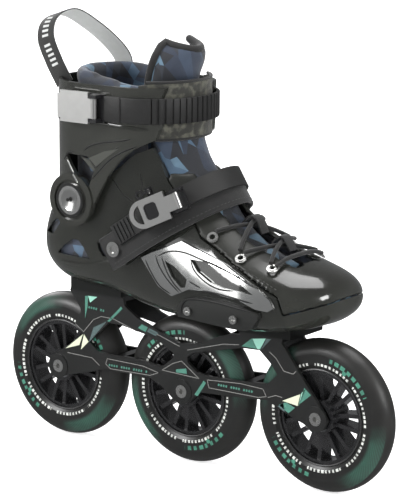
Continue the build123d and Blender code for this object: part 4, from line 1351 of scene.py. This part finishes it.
@dataclass
class Boot:
    """The shell with its panels, sliders, leather vamp and the small metal on it."""

    panel_groove_size: Point2 = (1.3, 0.12)
    wing_groove_size: Point2 = (1.0, 0.12)
    rim_size: Point2 = (3.0, 0.9)
    border_size: Point2 = (1.6, 0.5)
    seam: Sequence[Point2] = ((22, 199), (46, 190), (70, 182), (92, 176), (112, 168))
    stitch: Point3 = (2.6, 0.8, 0.8)
    stitch_pitch: float = 3.8
    rim: Sequence[Point2] = ((-111.6, 161.3), (-93.0, 161.2), (-72.7, 164.0), (-51.7, 169.4),
                             (-36.5, 168.3), (-21.7, 178.6))
    wing_grooves: Sequence[Sequence[Point2]] = (
        ((-49.7, 238.0), (-42.0, 228.5), (-29.3, 220.2)),
        ((-25.4, 246.0), (-23.0, 234.5), (-28.0, 216.2), (-41.1, 199.0)),
    )
    panel_grooves: Sequence[Sequence[Point2]] = (
        ((-3.0, 180.7), (8.6, 186.2), (23.9, 187.4), (46.7, 183.0), (69.1, 178.1), (91.2, 172.7),
         (105.1, 166.1)),
        ((34.6, 185.1), (54.2, 182.2), (76.5, 176.1), (98.6, 168.2)),
        ((-4.6, 181.7), (-0.6, 173.5), (8.7, 163.5), (22.6, 153.9)),
        ((1.7, 181.3), (7.1, 170.8), (14.9, 161.8), (24.1, 155.6)),
        ((-14.8, 176.4), (-9.5, 168.2), (-0.1, 157.6), (11.9, 152.2)),
        ((30.8, 183.4), (36.2, 174.8), (48.3, 167.8), (63.3, 164.4), (81.1, 165.1)),
        ((24.1, 153.5), (33.3, 157.6), (48.4, 160.4), (69.3, 160.3), (95.8, 157.5)),
        ((31.7, 165.5), (43.8, 162.2)),
    )
    slider_border: Sequence[Point2] = (
        (22.5, 137.0), (27.2, 147.2), (36.3, 152.3), (64.8, 154.0), (98.0, 151.0))

    def build(self) -> None:
        """Dress the boot and lay its lines."""
        gloss, toe = BLACK_GLOSS.material(), TOE_GLOSS.material()
        chrome, steel = CHROME.material(), STEEL.material()
        dress(gloss, "shell")
        dress(toe, "toe_bumper")
        dress(chrome, "outer_side_panel", "inner_side_panel")
        dress(SLIDER_PLASTIC.material(), "slider_plates")
        dress(steel, "slider_screws", "eyelets")
        groove = GROOVE_BLACK.material()
        for side, panel, word in ((-1, "outer_side_panel", "outer"), (1, "inner_side_panel", "inner")):
            lines, skin = Shape(), Skin(panel, side=side)
            for corners in self.panel_grooves:
                skin.inlay(lines, corners, *self.panel_groove_size)
            place(lines.piece(f"{word}_panel_grooves", groove), "boot", "panel_chrome")
            lines, skin = Shape(), Skin("shell", side=side)
            skin.inlay(lines, self.rim, *self.rim_size)
            place(lines.piece(f"{word}_heel_rim", gloss), "boot", "shell_gloss")
            lines = Shape()
            for corners in self.wing_grooves:
                skin.inlay(lines, corners, *self.wing_groove_size)
            place(lines.piece(f"{word}_wing_grooves", groove), "boot", "shell_gloss")
            lines, skin = Shape(), Skin("slider_plates", side=side)
            skin.inlay(lines, self.slider_border, *self.border_size)
            place(lines.piece(f"{word}_slider_border", groove), "boot", "slider_plastic")
        self.upper()

    def upper(self) -> None:
        """The leather vamp, softened, with a line of stitches along its side seams."""
        piece = finished(gather("vamp"), "leather_upper", UPPER_LEATHER.material(), 50.0)
        remeshed(piece, 2.0, 3)
        place(piece, "boot", "vamp_leather", "vamp")
        thread, row, seams = THREAD.material(), ItemRow(ItemShape.STITCH, *self.stitch), []
        for side in (-1, 1):
            path = Skin("vamp", side=side).stations(self.seam)
            seams += spaced(path, self.stitch_pitch)
        place(row.piece("upper_stitches", seams, thread), "boot", "vamp_leather")


def remeshed(piece: bpy.types.Object, voxel: float, smoothing: int) -> bpy.types.Object:
    """Close a piece into one even skin.

    Args:
        piece: the piece.
        voxel: the size of its faces, in millimetres.
        smoothing: how many times it is smoothed.
    Returns:
        The piece.
    """
    finish = piece.data.materials[0]
    skin = piece.modifiers.new("skin", "REMESH")
    skin.mode, skin.voxel_size, skin.use_smooth_shade = "VOXEL", voxel * MM, True
    soft = piece.modifiers.new("soft", "SMOOTH")
    soft.factor, soft.iterations = 0.5, smoothing
    applied(piece)
    piece.data.materials.clear()
    piece.data.materials.append(finish)
    return piece


def stuffed(piece: bpy.types.Object, voxel: float, most: Callable[[Vector], float],
            smoothing: int = 4) -> bpy.types.Object:
    """Give a soft piece the fullness of padding with a short cloth run.

    Args:
        piece: the piece.
        voxel: the size of its faces, in millimetres.
        most: how far, in millimetres, a point may move.
        smoothing: how many times it is smoothed first.
    Returns:
        The piece.
    """
    remeshed(piece, voxel, smoothing)
    rest = [v.co.copy() for v in piece.data.vertices]
    cloth = piece.modifiers.new("stuffing", "CLOTH")
    settings = cloth.settings
    settings.quality = 4
    settings.use_pressure = True
    settings.uniform_pressure_force = 4.0
    settings.effector_weights.gravity = 0.0
    cloth.point_cache.frame_start, cloth.point_cache.frame_end = 1, 20
    for number in range(1, 21):
        bpy.context.scene.frame_set(number)
    applied(piece)
    bpy.context.scene.frame_set(1)
    for vertex, start in zip(piece.data.vertices, rest):
        move, limit = vertex.co - start, most(start / MM) * MM
        if move.length > limit:
            vertex.co = start + move.normalized() * limit
    finer = piece.modifiers.new("finer", "SUBSURF")
    finer.levels = finer.render_levels = 1
    applied(piece)
    for face in piece.data.polygons:
        face.use_smooth = True
    return piece


@dataclass
class Liner:
    """The padded inner boot and its tongue."""

    plan: LegPlan = field(default_factory=LegPlan)
    front: float = -24.0
    foot: float = 214.0
    rear_top: float = 327.0
    front_top: float = 318.0
    middle_inset: float = 17.75
    wall: float = 3.25
    roll: float = 5.4
    liner_voxel: float = 3.6
    tongue_voxel: float = 3.0
    shell_top: float = 300.0
    held_swell: float = 0.8
    free_swell: float = 3.0
    tongue_swell: float = 1.6
    bound_rows: int = 12
    binding: float = 3.3
    bend: tuple[Point3, Point3] = ((-0.087, 0, 0.205), (-0.087, 0, 0.245))
    tongue_low: Point2 = (21.0, 6.0)
    tongue_high: Point2 = (29.5, 30.0)
    tongue_wall: float = 7.0
    tongue_reach: float = math.radians(78.0)
    tongue_line: Sequence[Point2] = (
        (95, 180), (80, 185), (60, 195), (40, 210), (24, 236), (13, 250), (6, 262), (2, 273), (-1, 283),
        (-3, 293), (-4, 308), (-2, 320), (3, 332), (6, 343.5))

    def build(self) -> None:
        """Make the liner and the tongue and dress the footbed."""
        inner = self.inner_boot()
        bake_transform(inner)
        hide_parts("liner_lower", "liner_upper")
        log.info("%s: %d faces", inner.name, len(inner.data.polygons))
        tongue = self.tongue()
        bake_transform(tongue)
        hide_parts("tongue_lower", "tongue_upper")
        log.info("%s: %d faces", tongue.name, len(tongue.data.polygons))
        insole = finished(gather("footbed"), "insole", INSOLE_CLOTH.material(), 50.0)
        remeshed(insole, 2.0, 4)
        place(insole, "boot", "footbed_foam", "footbed")
        piping = Shape().sweep(self.tongue_edge(), lambda share: bar(self.binding, 12))
        edge = piping.piece("tongue_piping", PIPING.material())
        place(edge, "cuff", "liner_fabric")

    def top(self, x: float) -> float:
        """The height of the collar at a place along X."""
        share = min(1.0, max(0.0, (self.front - x) / 75.0))
        return self.front_top + (self.rear_top - self.front_top) * share * share * (3 - 2 * share)

    def inner_boot(self) -> bpy.types.Object:
        """The foot part joined to the padded collar."""
        shape = Shape()
        path = self.plan.back(self.middle_inset, self.front)
        tops = [self.top(s.point.x) for s in path]

        def section(share: float) -> list[Point2]:
            """The collar's wall with its roll at the top."""
            high, w, r = tops[round(share * (len(tops) - 1))], self.wall, self.roll
            side = [(w, high - 17), (r, high - 11), (r, high - 6), (0.7 * r, high - 1.6)]
            inside = [(-o, u) for o, u in reversed(side)]
            return [(-w, self.foot), (w, self.foot), *side, (0.0, high), *inside]

        shape.sweep(path, section)
        piece = shape.piece("padded_liner", LINER_CLOTH.material())
        work = bmesh.new()
        work.from_mesh(piece.data)
        work.from_mesh(gather("liner_lower"))
        work.to_mesh(piece.data)
        work.free()
        free, held = self.free_swell, self.held_swell
        return stuffed(piece, self.liner_voxel, lambda at: held if at.z < self.shell_top else free)

    def tongue_frame(self) -> list[Station]:
        """The tongue's middle line, with out facing forwards."""
        line = smooth_path([Vector((x, 0, z)) for x, z in self.tongue_line], 3.0)
        across = Vector((0, 1, 0))
        return [Station(p, Vector((ahead.z, 0, -ahead.x)), across) for p, ahead in zip(line, headings(line))]

    def tongue_size(self, share: float) -> Point2:
        """The tongue's half width and how far its sides sag back."""
        ease = min(1.0, share / 0.6)
        taper = max(0.0, (share - 0.91) / 0.09)
        round_off = 1 - 0.35 * (1 - math.sqrt(max(0.0, 1 - taper * taper)))
        wide = self.tongue_low[0] + (self.tongue_high[0] - self.tongue_low[0]) * ease
        deep = self.tongue_low[1] + (self.tongue_high[1] - self.tongue_low[1]) * ease * ease
        return wide * round_off, deep

    def tongue_point(self, share: float, turn: float, under: float, narrower: float) -> Point2:
        """A point of the tongue's section.

        Args:
            share: how far up the tongue.
            turn: how far round from its middle line, in radians.
            under: how far under the outer side, in millimetres.
            narrower: how much narrower than the outer side.
        Returns:
            Its distance outwards and across.
        """
        wide, deep = self.tongue_size(share)
        return (deep - under) * math.cos(turn) - deep, (wide - narrower) * math.sin(turn)

    def tongue(self) -> bpy.types.Object:
        """The padded tongue."""

        def section(share: float) -> list[Point2]:
            """A crescent, thinner towards its edges."""
            turns = [self.tongue_reach * (k / 8 - 1) for k in range(17)]
            outer = [self.tongue_point(share, t, 0.0, 0.0) for t in turns]
            inner = [self.tongue_point(share, t, self.tongue_wall, 6.0) for t in reversed(turns)]
            return outer + inner

        piece = Shape().sweep(self.tongue_frame(), section).piece("padded_tongue", TONGUE_CLOTH.material())
        free, held = self.tongue_swell, self.held_swell
        return stuffed(piece, self.tongue_voxel, lambda at: held if at.z < self.shell_top else free, 3)

    def tongue_edge(self) -> list[Station]:
        """The line of piping round the top of the tongue."""
        line = self.tongue_frame()
        top, half_wall, side = len(line) - 1, self.tongue_wall / 2, []
        for k in range(top - self.bound_rows, top + 1):
            out, across = self.tongue_point(k / top, self.tongue_reach, half_wall, 3.0)
            side.append((line[k].point + line[k].out * out, across))
        points = [p + Vector((0, -w, 0)) for p, w in side]
        for k in range(1, 12):
            out, across = self.tongue_point(1.0, self.tongue_reach * (k / 6 - 1), half_wall, 3.0)
            points.append(line[top].point + line[top].out * out + Vector((0, across, -0.6)))
        points += [p + Vector((0, w, 0)) for p, w in reversed(side)]
        return threaded(points)


def threaded(points: Sequence[Vector]) -> list[Station]:
    """Stations along a free path, each turned as little as possible from the one before."""
    found, out = [], None
    for point, ahead in zip(points, headings(points)):
        out = out or ahead.orthogonal()
        out = (out - ahead * out.dot(ahead)).normalized()
        found.append(Station(point, out, ahead.cross(out)))
    return found


@dataclass
class Laces:
    """The laces over the instep, held by their eyelets, and the keepers in the middle."""

    thickness: float = 3.6
    keeper_width: float = 10.0
    keeper_thickness: float = 1.2
    routes: Sequence[Sequence[Point3]] = (
        ((104, -32, 184.9), (104.5, -22, 188.8), (105, 0, 189.8), (104.5, 22, 188.8), (104, 32, 184.9)),
        ((75.5, -35, 192.6), (81, -23, 194.6), (88, 0, 195.2), (94, 22, 190.6), (98.8, 32, 186.8)),
        ((75.5, 35, 192.6), (81, 23, 196.2), (88, 0, 199.6), (94, -22, 192.2), (98.8, -32, 186.8)),
        ((46, -33, 205.4), (52, -22, 208.4), (60, 0, 208.2), (66, 22, 200.8), (70.5, 34, 193.8)),
        ((46, 33, 205.4), (52, 22, 210.2), (60, 0, 212.6), (66, -22, 202.6), (70.5, -34, 193.8)),
    )
    keepers: Sequence[Sequence[Point2]] = (
        ((52.0, 208.6), (57.4, 213.6), (61.8, 214.4), (66.5, 210.4), (70.0, 201.6)),
        ((81.0, 195.8), (86.0, 200.8), (90.0, 201.4), (94.0, 197.2), (97.6, 191.2)),
    )

    def build(self) -> None:
        """Make the laces and their keepers."""
        finish = LACE_BRAID.material()
        work = bmesh.new()
        for route in self.routes:
            curve = bpy.data.curves.new("lace_run", "CURVE")
            curve.dimensions = "3D"
            curve.bevel_depth, curve.bevel_resolution = self.thickness / 2 * MM, 3
            curve.resolution_u, curve.use_fill_caps = 10, True
            run = curve.splines.new("NURBS")
            run.points.add(len(route) - 1)
            for point, place_mm in zip(run.points, route):
                point.co = (*(c * MM for c in place_mm), 1.0)
            run.order_u, run.use_endpoint_u = 3, True
            held = bpy.data.objects.new("lace_run", curve)
            bpy.context.scene.collection.objects.link(held)
            depsgraph = bpy.context.evaluated_depsgraph_get()
            depsgraph.update()
            work.from_mesh(bpy.data.meshes.new_from_object(held.evaluated_get(depsgraph)))
            bpy.data.objects.remove(held)
        mesh = bpy.data.meshes.new("braided_laces")
        work.to_mesh(mesh)
        work.free()
        place(finished(mesh, "braided_laces", finish, 60.0), "boot", "lace_fabric", "laces")
        shape = Shape()
        for corners in self.keepers:
            line = smooth_path([Vector((x, 0, z)) for x, z in corners], 1.5)
            across = Vector((0, 1, 0))
            path = [Station(point, Vector((-ahead.z, 0, ahead.x)), across)
                    for point, ahead in zip(line, headings(line))]
            shape.sweep(path, lambda share: rounded(self.keeper_width, self.keeper_thickness, 0.4))
        place(shape.piece("lace_keepers", PAD_CLOTH.material()), "boot", "lace_fabric")


@dataclass
class InstepStrap:
    """The padded band over the instep with its toothed strap and its buckle."""

    plan: StrapPlan = field(default_factory=StrapPlan)
    low: float = -14.0
    high: float = 13.0
    thickness: float = 2.6
    buckle: Point3 = (4.0, -51.8, 222.0)
    buckle_along: Point3 = (0.838, 0.347, 0.419)
    buckle_out: Point3 = (0.3207, -0.934, 0.1325)
    window_shift: float = -6.0
    insert_half: Point2 = (5.2, 6.2)
    insert_low: float = 0.2
    insert_thickness: float = 3.2
    piping_radius: float = 1.3
    piping_inset: float = 0.6
    stitch_inset: float = 3.6

    def build(self) -> None:
        """Make the band and dress the strap and the buckle."""
        path, (low, high) = self.plan.path(), (self.low, self.high)
        middle, width = (low + high) / 2, high - low

        def pad(share: float) -> list[Point2]:
            """The band's section, rounder at its edges."""
            return [(o, u + middle) for o, u in rounded(width, self.thickness, 1.2, 0.0, 3)]

        band = Shape().sweep(path, pad).piece("instep_pad", PAD_CLOTH.material())
        place(band, "boot", "strap_plastic", "instep_band")
        edges = Shape()
        for at in (low + self.piping_inset, high - self.piping_inset):
            edges.sweep(path, lambda share: [(o + 1.5, u + at) for o, u in bar(self.piping_radius)])
        place(edges.piece("instep_piping", PIPING.material()), "boot", "strap_plastic")
        thread = THREAD.material()
        row, at = ItemRow(ItemShape.STITCH, 2.4, 0.7, 0.5), low + self.stitch_inset
        line = [Station(s.point + s.out * self.thickness + s.up * at, s.out, s.up) for s in path]
        place(row.piece("instep_stitches", spaced(line, 3.6, 6.0), thread), "boot", "strap_plastic")
        dress(STRAP_PLASTIC.material(), "instep_ladder")
        dress(INSERT_PLASTIC.material(), "instep_buckle_base", "instep_release")
        dress(CAST_ALUMINIUM.material(), "instep_buckle_lever")
        dress(STEEL.material(), "instep_buckle_pin", "instep_release_pin")
        dress(DISH_CHROME.material(), "anchor_bolts")
        self.insert()

    def insert(self) -> None:
        """The dark textured insert in the lever's window."""
        out = Vector(self.buckle_out).normalized()
        along = Vector(self.buckle_along)
        along = (along - out * along.dot(out)).normalized()
        across = out.cross(along)
        centre = Vector(self.buckle) + along * self.window_shift + out * self.insert_low
        length, width = self.insert_half
        corners = [centre + along * a * length + across * b * width
                   for a, b in ((-1, -1), (1, -1), (1, 1), (-1, 1))]
        plate = Shape().prism(corners, out * self.insert_thickness)
        place(plate.piece("lever_insert", INSERT_PLASTIC.material()), "instep_lever", "buckle_base_plastic")


@dataclass
class Cuff:
    """The leaning cuff with its strap, shin shield, lever buckle and pull loop."""

    plan: LegPlan = field(default_factory=LegPlan)
    groove_size: Point2 = (1.3, 0.15)
    lip_size: Point2 = (3.2, 1.1)
    highlight_strip_size: Point2 = (2.0, 0.25)
    reflection_patch_height: float = 0.25
    pivot: Point2 = (-87.0, 218.0)
    disc_face: float = 54.4
    rim_radius: float = 12.9
    rim_section: Sequence[Point2] = ((-1.0, -0.4), (1.0, -0.4), (1.0, 0.35), (-1.0, 0.35))
    # The black disc that paints the shade of the pivot's hole: its shift and its radius.
    hole_shade_shift: float = -2.0
    dot_radius: float = 1.5
    film: float = 0.15
    strap_start: float = -50.0
    strap_low: float = 286.5
    strap_high: float = 307.0
    strap_thickness: float = 2.6
    strap_gap_thickness: float = 1.4
    strap_clearance: float = 0.3
    rib_start: float = -12.0
    rib_pitch: float = 5.6
    rib_gap: float = 1.5
    recess: Point2 = (-35.0, -28.0)
    shield_low: float = 272.0
    shield_high: float = 320.0
    shield_start: float = -25.0
    shield_inset: float = 4.3
    shield_piping_height: float = 23.0
    loop_width: float = 18.0
    loop_layer: float = 0.9
    grooves: Sequence[Sequence[Point2]] = (
        ((-73.5, 259.9), (-66.8, 264.7), (-53.4, 268.7), (-37.6, 271.4), (-26.6, 273.8)),
        ((-69.5, 254.5), (-61.5, 248.0), (-50.8, 257.5), (-37.6, 266.7)),
        ((-69.6, 232.4), (-56.2, 246.5), (-45.5, 256.0), (-32.4, 263.6), (-21.4, 268.1)),
        ((-98.0, 249.7), (-89.8, 257.0), (-79.0, 254.9)),
    )
    spine: Sequence[Point2] = ((-113.0, 221.6), (-115.3, 208.2), (-118.0, 199.0))
    # The path of a chrome strip that paints a highlight seen on the cuff's glossy edge.
    highlight_line: Sequence[Point2] = ((-93.0, 250.5), (-85.0, 240.8), (-77.5, 231.5))
    lip: Sequence[Point2] = ((-110.0, 282.5), (-90.0, 283.5), (-60.0, 284.0), (-30.0, 283.0), (-14.0, 282.0))
    # Outlines of the lighter olive patches that paint a reflection on the glossy cuff.
    facets: Sequence[Sequence[Point2]] = (
        ((-81.1, 254.2), (-67.6, 251.4), (-62.3, 245.7), (-67.7, 243.0)),
        ((-68.0, 254.8), (-52.6, 261.6), (-38.0, 265.2), (-50.0, 256.7), (-60.7, 248.3)),
    )
    loop: Sequence[Point3] = (
        (-114, -27, 309), (-123, -30.5, 328), (-131, -31, 347), (-133, -22, 361), (-128, -4, 365),
        (-118, 13, 353.5), (-108.5, 28, 338), (-102, 35, 324), (-103, 34, 311))

    def build(self) -> None:
        """Dress the cuff and make its soft pieces."""
        dress(CUFF_SATIN.material(), "cuff")
        dress(DISH_CHROME.material(), "pivot_bolts", "cuff_rivets")
        dress(STEEL.material(), "pivot_nuts", "cuff_buckle_pin")
        dress(INSERT_PLASTIC.material(), "cuff_buckle_base")
        dress(CAST_ALUMINIUM.material(), "cuff_buckle_lever")
        gloss, groove, chrome = BLACK_GLOSS.material(), GROOVE_BLACK.material(), CHROME.material()
        olive = OLIVE_PAINTED_REFLECTION.material()
        for side, word in ((-1, "outer"), (1, "inner")):
            skin = Skin("cuff", side=side)
            lines = Shape()
            for corners in (*self.grooves, self.spine):
                skin.inlay(lines, corners, *self.groove_size)
            place(lines.piece(f"{word}_cuff_grooves", groove), "cuff", "shell_gloss")
            lines = Shape()
            skin.inlay(lines, self.lip, *self.lip_size)
            place(lines.piece(f"{word}_cuff_lip", gloss), "cuff", "shell_gloss")
            # Painted highlight: a chrome strip laid where the glossy cuff edge shows only a bright highlight.
            lines = Shape()
            skin.inlay(lines, self.highlight_line, *self.highlight_strip_size)
            place(lines.piece(f"{word}_cuff_slit", chrome), "cuff", "disc_chrome")
            # Painted reflection: lighter olive patches laid on the glossy black cuff.
            for k, outline in enumerate(self.facets):
                facet = skin.patch(f"{word}_cuff_facet_{k}", outline, self.reflection_patch_height, olive)
                place(facet, "cuff", "shell_gloss")
        self.pivot_rings()
        self.strap()
        self.shield()
        self.pull()

    def pivot_rings(self) -> None:
        """The dark rim of each pivot disc, and a flat black disc painted as the shade of its hole."""
        shape = Shape()
        for side in (-1, 1):
            centre, face = Vector((self.pivot[0], side * self.disc_face, self.pivot[1])), Vector((0, side, 0))
            rim = circle(centre, self.rim_radius, face, 48)
            shape.sweep(rim, lambda share: list(self.rim_section), closed=True)
            # Painted shade: a flat black film stands for the shadow inside the pivot's hole.
            dot = circle(centre + Vector((self.hole_shade_shift, 0, 0)), self.dot_radius, face, 16)
            shape.prism([s.point for s in dot], face * self.film)
        place(shape.piece("pivot_rims", GROOVE_BLACK.material()), "cuff", "shell_gloss")

    def strap(self) -> None:
        """The ribbed strap round the front of the cuff."""
        middle = (self.strap_low + self.strap_high) / 2
        flat = self.plan.path(0.0, self.strap_start, 0.5)
        path = [Station(s.point + s.up * middle, s.out, s.up) for s in flat]
        run, total = [0.0], 0.0
        for a, b in zip(path, path[1:]):
            total += (b.point - a.point).length
            run.append(total)
        width = self.strap_high - self.strap_low

        def section(share: float) -> list[Point2]:
            """The strap's section, thinner between two ribs."""
            at = run[round(share * (len(run) - 1))]
            x = path[round(share * (len(path) - 1))].point.x
            between = x > self.rib_start and at % self.rib_pitch < self.rib_gap
            thin = between or self.recess[0] < x < self.recess[1]
            high = self.strap_gap_thickness if thin else self.strap_thickness
            return rounded(width, high, 0.7, self.strap_clearance, 2)

        piece = Shape().sweep(path, section).piece("ribbed_strap", STRAP_PLASTIC.material(), 25.0)
        place(piece, "cuff", "webbing_fabric", "cuff_strap")

    def shield(self) -> None:
        """The mottled shin shield under the strap."""
        low, high = self.shield_low, self.shield_high
        flat = self.plan.path(self.shield_inset, self.shield_start, 2.0)
        path = [Station(s.point + s.up * (low + high) / 2, s.out, s.up) for s in flat]

        def section(share: float) -> list[Point2]:
            """The shield's section, lower at both ends."""
            trim = 3.5 * max(0.0, 1 - 6 * min(share, 1 - share))
            return [(o, u) for o, u in rounded(high - low - 2 * trim, 2.0, 0.9, -1.0, 3)]

        piece = Shape().sweep(path, section).piece("shin_shield", SHIELD_CLOTH.material())
        place(piece, "cuff", "shield_fabric", "front_shield")
        edge = Shape()
        for side in (-1, 1):
            height = side * self.shield_piping_height
            edge.sweep(path[3:-3], lambda share: [(o, u + height) for o, u in bar(1.4)])
        place(edge.piece("shield_piping", PIPING.material()), "cuff", "shield_fabric")

    def pull(self) -> None:
        """The webbing loop over the back, black outside and grey inside, with plain bars on it."""
        wide = Vector((0.95, 0, 0.31)).normalized()
        line = smooth_path([Vector(p) for p in self.loop], 2.0)
        path = []
        for point, ahead in zip(line, headings(line)):
            out = wide.cross(ahead).normalized()
            path.append(Station(point, out, ahead.cross(out).normalized()))
        outer = Shape().sweep(path, lambda share: rounded(self.loop_width, self.loop_layer, 0.3, 0.0, 2))
        place(outer.piece("pull_loop_outer", LOOP_BLACK.material()), "cuff", "webbing_fabric", "pull_loop")
        low = -self.loop_layer
        narrow = self.loop_width - 1.0
        inner = Shape().sweep(path, lambda share: rounded(narrow, self.loop_layer, 0.3, low, 2))
        place(inner.piece("pull_loop_inner", LOOP_GREY.material()), "cuff", "webbing_fabric")
        row = ItemRow(ItemShape.BLOCK, 2.0, 6.5, 0.3)
        face = [Station(s.point + s.out * 0.95, s.out, s.up) for s in path[5:-5]]
        bars = spaced(face, 4.2, 8.0)
        kept = [s for k, s in enumerate(bars) if k % 6 != 5]
        place(row.piece("pull_loop_bars", kept, LOOP_GREY.material()), "cuff", "webbing_fabric")


@dataclass
class Studio:
    """The pale room, its lights and the camera."""

    eye: Point3 = (1.05975, -1.41572, 0.55395)
    right: Point3 = (0.80208, 0.59717, 0.00714)
    up: Point3 = (-0.12952, 0.16226, 0.97821)
    back: Point3 = (0.58300, -0.78553, 0.20749)
    lens: float = 159.109
    floor_radius: float = 3.0
    rise_radius: float = 1.2
    wall_top: float = 2.6
    sides: int = 96
    paper_glow: float = 0.58
    world_light: float = 0.22
    aim: Point3 = (0.0, 0.0, 0.18)
    lamps: Sequence[tuple[str, Point3, float, float]] = (
        ("key", (-1.5, -2.0, 1.7), 1.0, 52.0),
        ("overhead", (0.2, 0.3, 3.0), 1.8, 58.0),
        ("side", (2.6, -0.2, 1.3), 0.8, 30.0),
        ("rear", (-2.2, 1.0, 1.4), 0.9, 26.0),
        ("low", (-1.9, -2.3, 0.75), 1.4, 11.0),
    )

    def build(self) -> None:
        """Set the room up."""
        self.camera()
        self.room()
        for name, where, size, power in self.lamps:
            self.lamp(name, where, size, power)
        scene = bpy.context.scene
        scene.view_settings.view_transform = "Standard"
        world = bpy.data.worlds.new("room_light")
        world.use_nodes = True
        ground = world.node_tree.nodes["Background"]
        ground.inputs[0].default_value = (0.9, 0.91, 0.93, 1.0)
        ground.inputs[1].default_value = self.world_light
        scene.world = world

    def camera(self) -> None:
        """The camera, above and ahead of the outer side."""
        data = bpy.data.cameras.new("camera")
        data.sensor_fit, data.sensor_height, data.lens = "VERTICAL", 36.0, self.lens
        data.clip_start, data.clip_end = 0.05, 50.0
        made = bpy.data.objects.new("camera", data)
        bpy.context.scene.collection.objects.link(made)
        turn = Matrix((self.right, self.up, self.back)).transposed().to_4x4()
        made.matrix_world = Matrix.Translation(self.eye) @ turn
        bpy.context.scene.camera = made

    def room(self) -> None:
        """A round floor that rises at its rim."""
        shape, sides, rise = Shape(), self.sides, self.rise_radius
        profile = [(0.001, 0.0), (self.floor_radius, 0.0)]
        profile += [(self.floor_radius + rise * math.sin(t), rise - rise * math.cos(t))
                    for t in (math.pi / 2 * k / 8 for k in range(1, 9))]
        profile.append((self.floor_radius + rise, self.wall_top))
        for radius, height in profile:
            for k in range(sides):
                t = math.tau * k / sides
                shape.points.append(Vector((radius * math.cos(t), radius * math.sin(t), height)) / MM)
        for r in range(len(profile) - 1):
            for k in range(sides):
                n = (k + 1) % sides
                shape.faces.append((r * sides + k, r * sides + n, (r + 1) * sides + n, (r + 1) * sides + k))
        paper = Tree("paper")
        drift = paper.noise(paper.place().vector, 400.0)
        colour = paper.mix(drift, (0.90, 0.90, 0.90), (0.88, 0.88, 0.885))
        finish = paper.finish({"Base Color": colour, "Roughness": 0.7, "Emission Color": (1.0, 1.0, 1.0),
                               "Emission Strength": self.paper_glow})
        mesh_piece = shape.piece("cove", finish, 80.0)
        mesh_piece.visible_glossy = False
        for face in mesh_piece.data.polygons[:sides]:
            if face.normal.z < 0:
                mesh_piece.data.flip_normals()
                break

    def lamp(self, name: str, where: Point3, size: float, power: float) -> None:
        """A square soft light that faces the skate.

        Args:
            name: its name.
            where: its place in metres.
            size: the side of its face, in metres.
            power: its power in watts.
        """
        data = bpy.data.lights.new(name, "AREA")
        data.shape, data.size, data.energy = "SQUARE", size, power
        made = bpy.data.objects.new(name, data)
        bpy.context.scene.collection.objects.link(made)
        aim = Vector(self.aim) - Vector(where)
        made.matrix_world = Matrix.Translation(where) @ aim.to_track_quat("-Z", "Y").to_matrix().to_4x4()


def main() -> None:
    """Build the skate and its room."""
    logging.basicConfig(level=logging.INFO, format="%(message)s")
    for part in (Wheels(), Chassis(), Boot(), Liner(), Laces(), InstepStrap(), Cuff(), Studio()):
        log.info("building %s", type(part).__name__)
        part.build()
    log.info("closing the scene")


if __name__ == "__main__":
    main()
